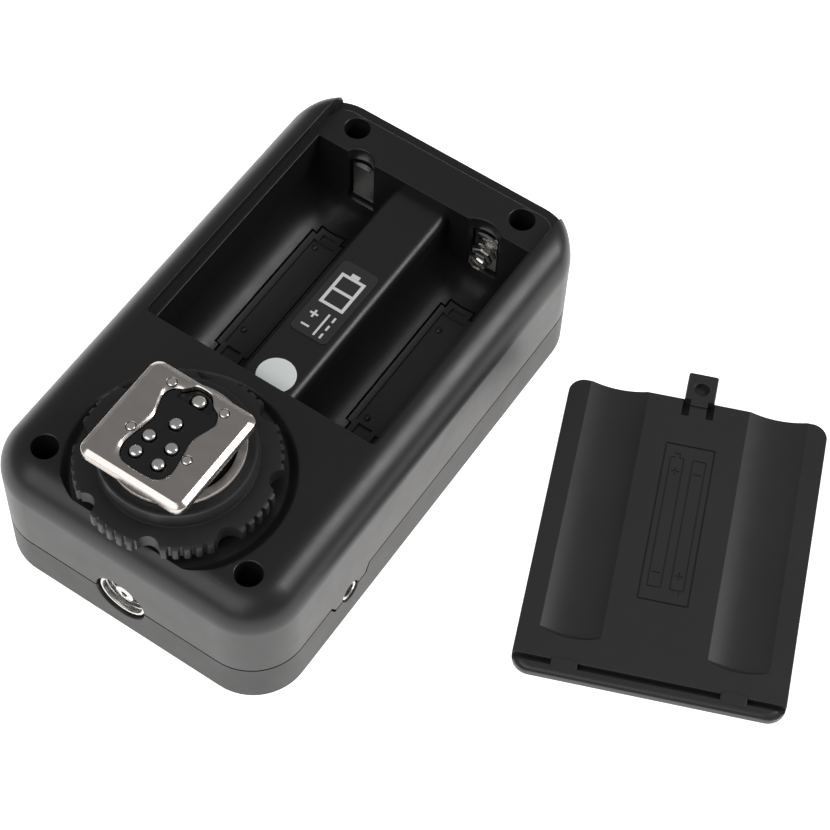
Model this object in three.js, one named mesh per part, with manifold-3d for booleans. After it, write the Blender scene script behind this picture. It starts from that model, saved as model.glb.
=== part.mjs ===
// Wireless flash trigger, lying face down with its battery cover taken off.
//
// Frame: millimetres, +Z up. X runs across the body (+X is the side with the 2.5 mm jack and the
// loose cover), Y runs along it (+Y is the battery end). The origin is the middle of the front
// face, which is the face that the trigger rests on.

import * as THREE from 'three';
import { mergeVertices } from 'three/addons/utils/BufferGeometryUtils.js';
import Module from 'manifold-3d';

const wasm = await Module();
wasm.setup();

// ---------------------------------------------------------------- driving dimensions

const BODY = { width: 53.4, length: 89.5, height: 26.2, cornerR: 9, sideR: 6, endR: 2.4, frontR: 1.6 };
const WALL = 1.8;
const PARTING = { z: 8.7, gap: 0.24, tongueZ: 6.7, tongueFrom: -28.2, tongueTo: -17.6, slope: 1.3 };
const FOOT = { y: -29.1, plateY: -30.7, plateW: 18.6, plateL: 19.2, plateT: 2, plateCorner: 1.7, height: 12.6 };
const STEM = { r: 8.7, flangeR: 11.2, neckW: 12.4, runR: 9 };
const WHEEL = {
  r: 15.7, toothDepth: 0.6, notchDepth: 1.8, notches: 8, teeth: 5, bossR: 12, z0: 25.7,
  hubR: 12.8, rimZ: 27.2, z1: 30.2,
};
const RECESS = { floorZ: 25.3, floorR: 16.2, rimR: 17.6 };
const RING = { r: 10.4, z0: 33.35, z1: 34.15 };
const BAY = { half: 21.4, nearY: -9.1, farY: 35.6, cellNearY: -16.9, landZ: 23.9, landEnd: 42.9, landCornerR: 3.2,
  stepDrop: 0.8 };
const CELL = { x: 12.8, z: 17.2, r: 7.5 };
const SPINE = { half: 5.3, z: 21.9, edgeR: 1.6 };
const WINDOW = { half: 3.3, endHalf: 2.5, near: 0.3, far: 27.6, reach: 3.3 };
const NOTCHES = [{ side: -1, chord: 5.1, depth: 1.6 }, { side: 1, chord: 6, depth: 1.2 }];
const FAR_CONTACT = { x: 12, y: 36.5 };
const SCREWS = [[-18.7, -37.4], [18.7, -37.4], [-16, 40.3], [16, 40.3]];
const BOARD = { z: 6.4, t: 1.2 };
const SHOE = { y0: -37.6, y1: -20.1, middle: -27.6, pocketHalf: 11.4, pocketNear: -37.9, pocketFar: -1.4, pocketZ: 4.4 };
const PC = { x: -0.6, z: 8.7, r: 4.2, boreR: 3.7, holeR: 4.5, flangeR: 5.2, face: 0.5, inner: 5.3, hubR: 1.7, hubFace: 1 };
const JACK = { y: -22.9, z: 6.8 };
const POWER = { y: 5.3, z: 4.7, half: 2.6, travel: 3 };
const BUTTONS = [['channel', -7, 15], ['group', 7, 15]];
const COVER = { x: 62.1, y: 15.4, turn: 21.8, width: 42.5, near: -27.3, far: 26.8, t: 2.3, nearR: 3, farR: 2.6 };
const COVER_TROUGH = { x: 13.1, r: 11.2, depth: 1.1, near: -20.4 };
const COVER_GROOVE = { near: -25.6, far: -24.4, z: 1.1, lipTop: 2.6 };
const CONTACTS = [[0, 1.9], [-2, -1.8], [2, -1.8], [-2, -5], [2, -5]];
const RIVETS = [[-4.7, 7.2], [4.7, 7.2], [-5, -2.2], [5, -2.2]];
const CLEAR = 0.15;

const TOP = BODY.height;
const PLATE_TOP = TOP + FOOT.height;
const PLATE_BOTTOM = PLATE_TOP - FOOT.plateT;
const HALF_W = BODY.width / 2;
const HALF_L = BODY.length / 2;

// ---------------------------------------------------------------- materials

const plastic = (color, roughness) => new THREE.MeshStandardMaterial({ color, roughness, metalness: 0 });
const metal = (color, roughness) => new THREE.MeshStandardMaterial({ color, roughness, metalness: 1 });

const blackCase = () => plastic(0x1c1b1d, 0.5);
const blackCover = () => plastic(0x222124, 0.45);
const blackInner = () => plastic(0x141415, 0.4);
const steel = () => metal(0xb9b4ae, 0.3);
const chrome = () => metal(0xe4e4e6, 0.12);
const brass = () => metal(0xc9a85c, 0.35);
const board = () => plastic(0x14502c, 0.55);

// ---------------------------------------------------------------- solids

function toSolid(geometry) {
  const plain = geometry.clone();
  plain.deleteAttribute('normal');
  plain.deleteAttribute('uv');
  const merged = mergeVertices(plain, 1e-4);
  const kept = [];
  const index = merged.index.array;
  for (let i = 0; i < index.length; i += 3) {
    const [a, b, c] = [index[i], index[i + 1], index[i + 2]];
    if (a !== b && b !== c && c !== a) kept.push(a, b, c);
  }
  const mesh = new wasm.Mesh({
    numProp: 3,
    vertProperties: new Float32Array(merged.attributes.position.array),
    triVerts: new Uint32Array(kept),
  });
  return new wasm.Manifold(mesh);
}

function toGeometry(solid) {
  const mesh = solid.getMesh();
  const geometry = new THREE.BufferGeometry();
  geometry.setAttribute('position', new THREE.BufferAttribute(new Float32Array(mesh.vertProperties), 3));
  geometry.setIndex(Array.from(mesh.triVerts));
  geometry.computeVertexNormals();
  return geometry;
}

const join = (first, ...rest) => rest.reduce((sum, next) => sum.add(next), first);
const cut = (first, ...rest) => rest.reduce((left, next) => left.subtract(next), first);

function box(x0, x1, y0, y1, z0, z1) {
  const geometry = new THREE.BoxGeometry(x1 - x0, y1 - y0, z1 - z0);
  geometry.translate((x0 + x1) / 2, (y0 + y1) / 2, (z0 + z1) / 2);
  return toSolid(geometry);
}

// A cylinder along Z, X or Y through the point (x, y, z), running from a to b on its own axis.
function rod(axis, r, a, b, across, up, segments = 20) {
  const geometry = new THREE.CylinderGeometry(r, r, b - a, segments);
  const middle = (a + b) / 2;
  if (axis === 'z') {
    geometry.rotateX(Math.PI / 2);
    geometry.translate(across, up, middle);
  } else if (axis === 'x') {
    geometry.rotateZ(Math.PI / 2);
    geometry.translate(middle, across, up);
  } else {
    geometry.translate(across, middle, up);
  }
  return toSolid(geometry);
}

const tube = (axis, outer, inner, a, b, across, up, segments) => cut(
  rod(axis, outer, a, b, across, up, segments),
  rod(axis, inner, a - 1, b + 1, across, up, segments),
);

function prism(shape, z0, z1, curveSegments = 8) {
  const geometry = new THREE.ExtrudeGeometry(shape, { depth: z1 - z0, bevelEnabled: false, curveSegments });
  geometry.translate(0, 0, z0);
  return toSolid(geometry);
}

// A section drawn in X and Z, pushed along Y from y0 to y1.
function alongY(shape, y0, y1, curveSegments = 8) {
  const geometry = new THREE.ExtrudeGeometry(shape, { depth: y1 - y0, bevelEnabled: false, curveSegments });
  geometry.rotateX(Math.PI / 2);
  geometry.translate(0, y1, 0);
  return toSolid(geometry);
}

// A profile of [radius, height] pairs that starts and ends on the axis, turned about Z.
function turned(profile, x, y, segments = 20) {
  const geometry = new THREE.LatheGeometry(profile.map(([r, z]) => new THREE.Vector2(r, z)), segments);
  geometry.rotateX(Math.PI / 2);
  geometry.translate(x, y, 0);
  return toSolid(geometry);
}

function outline(points) {
  const shape = new THREE.Shape();
  points.forEach(([x, y], i) => (i ? shape.lineTo(x, y) : shape.moveTo(x, y)));
  shape.closePath();
  return shape;
}

// The four corners of a rounded rectangle, each as an arc, anticlockwise from the near right one.
function roundedPoints(x0, x1, y0, y1, nearR, farR, steps = 6) {
  const corners = [
    [x1 - nearR, y0 + nearR, -90, nearR],
    [x1 - farR, y1 - farR, 0, farR],
    [x0 + farR, y1 - farR, 90, farR],
    [x0 + nearR, y0 + nearR, 180, nearR],
  ];
  const points = [];
  for (const [cx, cy, start, r] of corners) {
    for (let i = 0; i <= steps; i += 1) {
      const angle = THREE.MathUtils.degToRad(start + (90 * i) / steps);
      points.push([cx + r * Math.cos(angle), cy + r * Math.sin(angle)]);
    }
  }
  return points;
}

const roundedBox = (x0, x1, y0, y1, z0, z1, r, steps = 4) => prism(
  outline(roundedPoints(x0, x1, y0, y1, r, r, steps)), z0, z1,
);

// A closed skin through a stack of convex outlines that all have the same number of points.
function loft(layers) {
  const count = layers[0].points.length;
  const positions = [];
  const index = [];
  layers.forEach(({ z, points }) => points.forEach(([x, y]) => positions.push(x, y, z)));
  for (let row = 0; row + 1 < layers.length; row += 1) {
    for (let i = 0; i < count; i += 1) {
      const a = row * count + i;
      const b = row * count + ((i + 1) % count);
      index.push(a, b, b + count, a, b + count, a + count);
    }
  }
  const last = (layers.length - 1) * count;
  for (let i = 1; i + 1 < count; i += 1) {
    index.push(0, i + 1, i);
    index.push(last, last + i, last + i + 1);
  }
  const geometry = new THREE.BufferGeometry();
  geometry.setAttribute('position', new THREE.Float32BufferAttribute(positions, 3));
  geometry.setIndex(index);
  return toSolid(geometry);
}

// The trigger's outer skin, or the skin set in by some amount: big radii along the rear edges of
// the sides and the foot end, a small one at the battery end and round the front face.
function bodySkin(inset) {
  const top = TOP - inset;
  const bottom = inset;
  const sideR = BODY.sideR - inset;
  const endR = Math.max(BODY.endR - inset, 0.4);
  const frontR = Math.max(BODY.frontR - inset, 0.3);
  const layer = (z) => {
    const rise = Math.max(0, z - (top - sideR)) / sideR;
    const endRise = Math.max(0, z - (top - endR)) / endR;
    const drop = Math.max(0, bottom + frontR - z) / frontR;
    const side = inset + sideR * (1 - Math.sqrt(Math.max(0, 1 - rise * rise)))
      + frontR * (1 - Math.sqrt(Math.max(0, 1 - drop * drop)));
    const end = inset + endR * (1 - Math.sqrt(Math.max(0, 1 - endRise * endRise)))
      + frontR * (1 - Math.sqrt(Math.max(0, 1 - drop * drop)));
    const nearR = Math.max(BODY.cornerR - side, 0.6);
    const farR = Math.max(BODY.cornerR - Math.max(side, end), 0.6);
    return {
      z,
      points: roundedPoints(-HALF_W + side, HALF_W - side, -HALF_L + side, HALF_L - end, nearR, farR),
    };
  };
  const heights = [];
  for (let i = 0; i <= 2; i += 1) heights.push(bottom + frontR * (1 - Math.cos((Math.PI / 2) * (i / 2))));
  for (let i = 0; i <= 7; i += 1) heights.push(top - sideR + sideR * Math.sin((Math.PI / 2) * (i / 7)));
  return loft(heights.map(layer));
}

// A wire of the given radius along a list of points.
function wire(points, radius, steps) {
  const ring = new THREE.Shape();
  ring.absarc(0, 0, radius, 0, Math.PI * 2, false);
  const path = new THREE.CatmullRomCurve3(points.map(([x, y, z]) => new THREE.Vector3(x, y, z)));
  return toSolid(new THREE.ExtrudeGeometry(ring, { steps, curveSegments: 3, extrudePath: path }));
}

// A coil whose axis runs along Y (or Z), widening from r0 to r1 over its turns.
function coil(axis, centre, from, to, r0, r1, turns, radius) {
  const points = [];
  const count = turns * 8;
  for (let i = 0; i <= count; i += 1) {
    const share = i / count;
    const angle = share * turns * Math.PI * 2;
    const r = r0 + (r1 - r0) * share;
    const along = from + (to - from) * share;
    if (axis === 'y') points.push([centre[0] + r * Math.cos(angle), along, centre[1] + r * Math.sin(angle)]);
    else points.push([centre[0] + r * Math.cos(angle), centre[1] + r * Math.sin(angle), along]);
  }
  return wire(points, radius, count);
}

// ---------------------------------------------------------------- the two case shells

// The rear shell dips here so that the jack's hole sits on the parting line.
function jackTongue(grow) {
  const { tongueZ, tongueFrom, tongueTo, slope, z } = PARTING;
  const section = outline([
    [tongueFrom - grow, z + 0.5],
    [tongueFrom + slope - grow, tongueZ - grow],
    [tongueTo - slope + grow, tongueZ - grow],
    [tongueTo + grow, z + 0.5],
  ]);
  const geometry = new THREE.ExtrudeGeometry(section, { depth: 4, bevelEnabled: false });
  geometry.rotateX(Math.PI / 2);
  geometry.rotateZ(Math.PI / 2);
  geometry.translate(HALF_W - WALL - 1, 0, 0);
  return toSolid(geometry);
}

// Section across both battery troughs and the ridge between them, open upwards to `top`.
function cellSection(top) {
  const shape = new THREE.Shape();
  shape.moveTo(-CELL.x - CELL.r, top);
  shape.lineTo(-CELL.x - CELL.r, CELL.z);
  shape.absarc(-CELL.x, CELL.z, CELL.r, Math.PI, Math.PI * 2, false);
  shape.lineTo(-SPINE.half, SPINE.z - SPINE.edgeR);
  shape.absarc(-SPINE.half + SPINE.edgeR, SPINE.z - SPINE.edgeR, SPINE.edgeR, Math.PI, Math.PI / 2, true);
  shape.absarc(SPINE.half - SPINE.edgeR, SPINE.z - SPINE.edgeR, SPINE.edgeR, Math.PI / 2, 0, true);
  shape.lineTo(CELL.x - CELL.r, CELL.z);
  shape.absarc(CELL.x, CELL.z, CELL.r, Math.PI, Math.PI * 2, false);
  shape.lineTo(CELL.x + CELL.r, top);
  shape.closePath();
  return shape;
}

// The slot through each trough's floor, a little narrower at both ends. A gap sets it in all round.
function floorWindow(side, gap = 0) {
  const x = side * CELL.x;
  const { half, endHalf, near, far, reach } = WINDOW;
  return join(
    box(x - half + gap, x + half - gap, near + gap, far - gap, 8, 12),
    box(x - endHalf + gap, x + endHalf - gap, near - reach + gap, near + 1, 8, 12),
    box(x - endHalf + gap, x + endHalf - gap, far - 1, far + reach / 2 - gap, 8, 12),
  );
}

// The land's far edge, round at both corners, with a lower step between it and the end of the body.
function landStep() {
  const { half, landEnd, landCornerR, landZ, stepDrop } = BAY;
  return cut(
    box(-half + 0.1, half - 0.1, landEnd - landCornerR, HALF_L + 2, landZ - stepDrop, TOP + 1),
    prism(outline(roundedPoints(-half, half, 0, landEnd, 1, landCornerR)), 10, TOP + 2),
  );
}

// The recess round each far contact, seen from above as a shallow scallop in the land's edge.
function contactNotch({ side, chord, depth }) {
  const r = (chord * chord / 4 + depth * depth) / (2 * depth);
  const x = side * FAR_CONTACT.x;
  return join(
    rod('z', r, 11.5, TOP + 1, x, BAY.farY + depth - r, 28),
    box(x - 2.5, x + 2.5, BAY.farY - 0.5, FAR_CONTACT.y + 0.8, 11.8, 21.3),
  );
}

function rearCase() {
  const cover = box(-40, 40, -60, 60, PARTING.z + PARTING.gap / 2, 40);
  const outer = bodySkin(0).intersect(join(cover, jackTongue(-PARTING.gap / 2)));
  let shell = cut(outer, bodySkin(WALL));
  const tubNear = BAY.cellNearY - 1.3;
  shell = join(
    shell,
    box(-21.9, 21.9, tubNear, BAY.farY + 1.2, PARTING.z + PARTING.gap / 2, TOP - WALL + 0.2),
    box(-22.6, 22.6, BAY.farY, HALF_L - 1, BAY.landZ - 1.6, TOP - WALL + 0.2),
    box(-22.6, -20.4, BAY.nearY, HALF_L - 3, BAY.landZ - 2, TOP - WALL + 0.2),
    box(20.4, 22.6, BAY.nearY, HALF_L - 3, BAY.landZ - 2, TOP - WALL + 0.2),
  );
  for (const side of [-1, 1]) {
    shell = join(shell, box(side * 12 - 4.4, side * 12 + 4.4, BAY.farY, 39.6, 10, BAY.landZ - 0.5));
  }
  for (const [x, y] of SCREWS) shell = join(shell, rod('z', 3.3, 9.3, TOP - WALL + 0.2, x, y));
  shell = shell.intersect(bodySkin(0));
  shell = cut(
    shell,
    box(-BAY.half, BAY.half, BAY.nearY, HALF_L + 2, BAY.landZ, TOP + 1),
    alongY(cellSection(TOP + 1), BAY.nearY, BAY.farY, 8),
    alongY(cellSection(TOP - WALL), -15.9, BAY.nearY + 1, 8),
    box(-CELL.x - CELL.r, CELL.x + CELL.r, BAY.cellNearY, -15.4, 10.4, TOP - WALL),
    floorWindow(-1),
    floorWindow(1),
  );
  for (const notch of NOTCHES) shell = cut(shell, contactNotch(notch));
  for (const [x, y] of SCREWS) {
    shell = cut(shell, rod('z', 2.1, 11, TOP + 1, x, y), rod('z', 1.15, 8, 12, x, y, 16));
  }
  const { floorZ, floorR, rimR } = RECESS;
  const recess = turned([[0, floorZ], [floorR, floorZ], [rimR, TOP], [rimR, TOP + 2], [0, TOP + 2]], 0, FOOT.y, 48);
  return cut(
    shell,
    recess,
    landStep(),
    rod('z', STEM.r + CLEAR, 22, TOP + 1, 0, FOOT.y, 36),
    rod('y', PC.holeR, -HALF_L - 1, -HALF_L + 4, PC.x, PC.z, 32),
    rod('x', 1.95, 20, HALF_W + 1, JACK.y, JACK.z, 24),
  );
}

function frontCase() {
  const under = box(-40, 40, -60, 60, -1, PARTING.z - PARTING.gap / 2);
  const outer = cut(bodySkin(0).intersect(under), jackTongue(PARTING.gap / 2));
  let shell = cut(outer, bodySkin(WALL));
  const wall = 1.3;
  shell = join(shell, box(
    -SHOE.pocketHalf - wall,
    SHOE.pocketHalf + wall,
    SHOE.pocketNear - wall,
    SHOE.pocketFar + wall,
    0.6,
    SHOE.pocketZ + wall,
  ));
  for (const [x, y] of SCREWS) shell = join(shell, rod('z', 2.8, 1, PARTING.z - 0.3, x, y));
  for (const x of [-20.5, 20.5]) {
    for (const y of [-12, 31]) shell = join(shell, rod('z', 1.6, 1, BOARD.z - 0.1, x, y, 16));
  }
  const near = POWER.y - POWER.half;
  const far = POWER.y + POWER.half + POWER.travel;
  shell = cut(
    shell,
    box(-SHOE.pocketHalf, SHOE.pocketHalf, SHOE.pocketNear, SHOE.pocketFar, -1, SHOE.pocketZ),
    rod('y', PC.holeR, -HALF_L - 1, -HALF_L + 4, PC.x, PC.z, 32),
    rod('x', 1.95, 20, HALF_W + 1, JACK.y, JACK.z, 24),
    roundedBox(-4.9, 4.9, 22.6, 25.4, -1, 3, 1.39),
    box(-HALF_W - 1, -HALF_W + 0.9, near - 0.5, far + 0.5, POWER.z - 1.8, POWER.z + 1.8),
    box(-HALF_W, -HALF_W + 3, near + 1.4, far - 1.4, POWER.z - 0.8, POWER.z + 0.8),
  );
  for (const [x, y] of SCREWS) shell = cut(shell, rod('z', 0.95, 3.2, 10, x, y, 16));
  for (const [, x, y] of BUTTONS) shell = cut(shell, rod('z', 3.2, -1, 3, x, y));
  return shell;
}

// ---------------------------------------------------------------- hot-shoe foot

// The plate's cut-out: a rounded lobe at the foot end, a waist, shoulders and a notch for the pin.
function keyhole(inset) {
  const half = [[2.6, -7.3], [4.2, -5.7], [4.2, -3.4], [3.7, -0.8], [3.5, 1.2], [4.1, 3.2], [4.6, 5.1], [4, 6.6],
    [2.7, 7.4], [2, 8.2], [1.1, 8.9]];
  const shrunk = half.map(([x, y]) => [x - inset, y > 0 ? y - inset : y + inset]);
  const left = shrunk.map(([x, y]) => [-x, y]).reverse();
  const curve = new THREE.CatmullRomCurve3(
    [...shrunk, ...left].map(([x, y]) => new THREE.Vector3(x, y + FOOT.plateY, 0)), true,
  );
  return outline(curve.getPoints(44).slice(0, 44).map((p) => [p.x, p.y]));
}

function footPlate() {
  const side = FOOT.plateW / 2;
  const end = FOOT.plateL / 2;
  const layer = (z, inset) => ({
    z,
    points: roundedPoints(
      -side + inset, side - inset, FOOT.plateY - end + inset, FOOT.plateY + end - inset,
      FOOT.plateCorner - inset, FOOT.plateCorner - inset, 6,
    ),
  });
  let plate = loft([
    layer(PLATE_BOTTOM, 0.25),
    layer(PLATE_BOTTOM + 0.25, 0),
    layer(PLATE_TOP - 0.55, 0),
    layer(PLATE_TOP - 0.45, 0.05),
    layer(PLATE_TOP, 0.95),
  ]);
  plate = cut(plate, prism(keyhole(0), PLATE_BOTTOM - 1, PLATE_TOP + 1));
  for (const [x, y] of RIVETS) {
    plate = cut(plate, rod('z', 0.8, PLATE_BOTTOM - 1, PLATE_TOP + 1, x, y + FOOT.plateY, 12));
  }
  return plate;
}

function footBlock() {
  const lockY = FOOT.plateY + 7.3;
  const flange = cut(
    rod('z', STEM.flangeR, 21.8, TOP - WALL - 0.1, 0, FOOT.y, 36),
    box(-20, 20, -50, FOOT.y - 9.3, 20, 26),
    box(-20, 20, FOOT.y + 10.6, 0, 20, 26),
  );
  const neck = rod('z', STEM.r, RING.z1 - 0.25, PLATE_BOTTOM - 0.08, 0, FOOT.y, 36).intersect(
    box(-STEM.neckW / 2, STEM.neckW / 2, -50, -10, 30, 40),
  );
  let block = join(
    flange,
    rod('z', STEM.r, TOP - WALL - 0.2, RING.z1 - 0.15, 0, FOOT.y, 36),
    neck,
    prism(keyhole(0.12), PLATE_BOTTOM - 0.5, PLATE_TOP - 0.5),
  );
  block = cut(block, box(-3, 3, lockY - 1.5, lockY + 3, PLATE_TOP - 1.4, PLATE_TOP + 1));
  for (const [x, y] of CONTACTS) {
    block = cut(block, rod('z', 1.1, 31.5, PLATE_TOP + 1, x, y + FOOT.plateY, 14));
  }
  for (const [x, y] of RIVETS) {
    block = cut(block, rod('z', 0.8, 34.5, PLATE_TOP + 1, x, y + FOOT.plateY, 12));
  }
  return cut(block, rod('z', 1.4, 20, PLATE_TOP + 1, 0, lockY, 20));
}

// A springy contact with a domed tip that stands just proud of the plate.
function contactPin(x, y) {
  const tip = PLATE_TOP + 0.3;
  const profile = [[0, 32.8], [0.95, 32.8], [0.95, tip - 0.6]];
  for (let i = 1; i < 3; i += 1) {
    const angle = (Math.PI / 2) * (i / 3);
    profile.push([0.95 * Math.cos(angle), tip - 0.6 + 0.6 * Math.sin(angle)]);
  }
  profile.push([0, tip]);
  return turned(profile, x, y + FOOT.plateY, 14);
}

function plateRivet(x, y) {
  const profile = [[0, 35.2], [0.7, 35.2], [0.7, PLATE_TOP - 0.05], [0.45, PLATE_TOP + 0.12], [0, PLATE_TOP + 0.18]];
  return turned(profile, x, y + FOOT.plateY, 12);
}

function lockingPin() {
  const tip = PLATE_TOP - 0.9;
  const profile = [[0, 24.5], [1.2, 24.5], [1.2, tip - 0.5], [0.75, tip], [0, tip]];
  return turned(profile, 0, FOOT.plateY + 7.3, 20);
}

// The wheel's rim: groups of fine teeth, with a scallop for the finger between groups.
function wheelOutline() {
  const points = [];
  const sector = 360 / WHEEL.notches;
  const notchHalf = 6.5;
  const pitch = (sector - 2 * notchHalf) / WHEEL.teeth;
  const at = (degrees, r) => {
    const angle = THREE.MathUtils.degToRad(degrees);
    points.push([r * Math.cos(angle), r * Math.sin(angle)]);
  };
  for (let n = 0; n < WHEEL.notches; n += 1) {
    const start = 20 + n * sector;
    for (let i = 0; i <= 6; i += 1) {
      const share = i / 3 - 1;
      at(start + share * notchHalf, WHEEL.r - WHEEL.notchDepth * Math.sqrt(1 - share * share * 0.9));
    }
    for (let tooth = 0; tooth < WHEEL.teeth; tooth += 1) {
      const first = start + notchHalf + tooth * pitch;
      at(first + pitch * 0.15, WHEEL.r);
      at(first + pitch * 0.6, WHEEL.r);
      at(first + pitch * 0.72, WHEEL.r - WHEEL.toothDepth);
      if (tooth < WHEEL.teeth - 1) at(first + pitch * 0.98, WHEEL.r - WHEEL.toothDepth);
    }
  }
  return outline(points);
}

function lockingWheel() {
  const rim = prism(wheelOutline(), WHEEL.rimZ, WHEEL.z1);
  const hub = rod('z', WHEEL.hubR, WHEEL.z0, WHEEL.rimZ + 0.5, 0, 0, 48);
  const chamfer = turned(
    [[0, WHEEL.z0 - 1], [WHEEL.r + 1, WHEEL.z0 - 1], [WHEEL.r + 1, WHEEL.z1 - 1], [WHEEL.r - 0.6, WHEEL.z1],
      [0, WHEEL.z1]], 0, 0, 48,
  );
  const boss = turned(
    [[0, WHEEL.z1 - 1], [WHEEL.bossR, WHEEL.z1 - 1], [WHEEL.bossR, RING.z0 - 0.7], [WHEEL.bossR - 0.6, RING.z0 - 0.1],
      [0, RING.z0 - 0.1]], 0, 0, 40,
  );
  const bore = rod('z', STEM.runR, 20, 40, 0, 0, 36);
  return cut(join(rim.intersect(chamfer), hub, boss), bore).translate(0, FOOT.y, 0);
}

// ---------------------------------------------------------------- battery bay

// Fills the slot in the trough's floor from below: its rim is level with the trough and its middle
// is half a millimetre lower.
function cellPad(side) {
  const x = side * CELL.x;
  const flange = box(x - 4.6, x + 4.6, WINDOW.near - 4.5, WINDOW.far + 2.8, 8.05, 8.65);
  const filling = floorWindow(side, 0.3).intersect(box(-30, 30, -10, 40, 8.1, 12));
  const trough = rod('y', CELL.r + 0.1, -20, 50, x, CELL.z, 72);
  const hollow = rod('y', CELL.r + 0.6, -20, 50, x, CELL.z, 72).intersect(floorWindow(side, 1.2));
  const pipX = side < 0 ? x - 1.2 : x - 0.9;
  const pip = (y) => turned([[0, 8.5], [0.55, 8.5], [0.5, 9.4], [0.25, 9.6], [0, 9.65]], pipX, y, 12);
  const pips = side < 0 ? [5.4, 25.3] : [3, 23.4];
  return join(cut(join(flange, filling), trough, hollow), ...pips.map(pip));
}

const spineLabel = () => roundedBox(-3.4, 3.4, 3.3, 18.8, SPINE.z + 0.03, SPINE.z + 0.18, 0.9);
const sealSticker = () => rod('z', 3.2, SPINE.z + 0.03, SPINE.z + 0.16, 0.4, -5.3, 40);

function farContact(side) {
  const x = side * FAR_CONTACT.x;
  const plate = box(x - 2.1, x + 2.1, FAR_CONTACT.y, FAR_CONTACT.y + 0.4, 12.2, 20.8);
  const lug = box(x - 1.4, x + 1.4, FAR_CONTACT.y - 0.55, FAR_CONTACT.y + 0.1, 20.4, 20.8);
  return join(plate, lug);
}

// ---------------------------------------------------------------- sockets

// A thin threaded sleeve, just below the wall's face, with a flange inside the wall.
function pcSocketRing() {
  const face = -HALF_L + PC.face;
  let ring = join(
    tube('y', PC.r, PC.boreR, face, -HALF_L + PC.inner, PC.x, PC.z, 36),
    tube('y', PC.flangeR, PC.boreR, -42.7, -41.7, PC.x, PC.z, 36),
  );
  for (let turn = 0; turn < 3; turn += 1) {
    const y = face + 0.75 + turn * 0.7;
    ring = cut(ring, rod('y', PC.boreR + 0.2, y, y + 0.3, PC.x, PC.z, 36));
  }
  return ring;
}

const pcSocketInsulator = () => tube('y', PC.boreR - CLEAR, PC.hubR + CLEAR, -42, -HALF_L + PC.inner - 0.2,
  PC.x, PC.z, 28);
const pcSocketPin = () => cut(
  rod('y', PC.hubR, -HALF_L + PC.hubFace, -37.6, PC.x, PC.z, 24),
  rod('y', 0.6, -HALF_L - 1, -41, PC.x, PC.z, 14),
);

const jackBody = () => cut(
  box(14.2, 24.6, JACK.y - 3, JACK.y + 3, 4.2, 9.3),
  rod('x', 1.25, 17, 26, JACK.y, JACK.z, 18),
);
const jackSleeve = () => tube('x', 1.75, 1.25, 24.7, HALF_W - 0.25, JACK.y, JACK.z, 22);

// ---------------------------------------------------------------- front face

function shoeFrame() {
  const frame = alongY(outline([
    [-10.7, 0.35], [-6.2, 0.35], [-6.2, 1.25], [-9.5, 1.25], [-9.5, 3.35], [9.5, 3.35],
    [9.5, 1.25], [6.2, 1.25], [6.2, 0.35], [10.7, 0.35], [10.7, 4.25], [-10.7, 4.25],
  ]), SHOE.y0, SHOE.y1);
  return cut(frame, box(-5.8, 5.8, SHOE.y0 + 1.6, SHOE.y1 - 1.6, 3, 5));
}

function shoeContactBlock() {
  let block = box(-5.5, 5.5, SHOE.y0 + 1.9, SHOE.y1 - 1.9, 3.4, 4.25);
  for (const [x, y] of CONTACTS) block = cut(block, rod('z', 1.15, 3, 5, x, SHOE.middle + y, 12));
  return block;
}

const shoeContact = (x, y) => rod('z', 1, 3.25, 4.2, x, SHOE.middle + y, 12);

const pushButton = (x, y) => turned(
  [[0, 0.3], [2.7, 0.3], [3, 0.6], [3, 2], [3.7, 2], [3.7, 2.7], [1.6, 2.7], [1.6, 4.2], [0, 4.2]], x, y, 20,
);

const pushSwitch = (x, y) => join(
  box(x - 3, x + 3, y - 3, y + 3, 5.1, BOARD.z - 0.1),
  rod('z', 1.5, 4.85, 5.3, x, y, 16),
);

function powerKnob() {
  const { y, z } = POWER;
  let knob = join(
    box(-HALF_W - 0.25, -HALF_W + 0.7, y - POWER.half, y + POWER.half, z - 1.5, z + 1.5),
    box(-HALF_W + 0.5, -HALF_W + 2.1, y - 0.8, y + 0.8, z - 0.6, z + 0.6),
  );
  for (const step of [-1.5, -0.5, 0.5, 1.5]) {
    knob = cut(knob, box(-HALF_W - 1, -HALF_W, y + step - 0.2, y + step + 0.2, z - 2, z + 2));
  }
  return knob;
}

// ---------------------------------------------------------------- electronics

function mainBoard() {
  return cut(
    roundedBox(-23.6, 23.6, -34, 36.4, BOARD.z, BOARD.z + BOARD.t, 2),
    box(13.6, 30, JACK.y - 3.4, JACK.y + 3.4, 5, 10),
  );
}

const rfShield = () => cut(
  box(-19, -9.5, -31, -21.5, 8.75, 10.9),
  box(-18.7, -9.8, -30.7, -21.8, 8, 10.6),
);

// ---------------------------------------------------------------- battery cover

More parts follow.
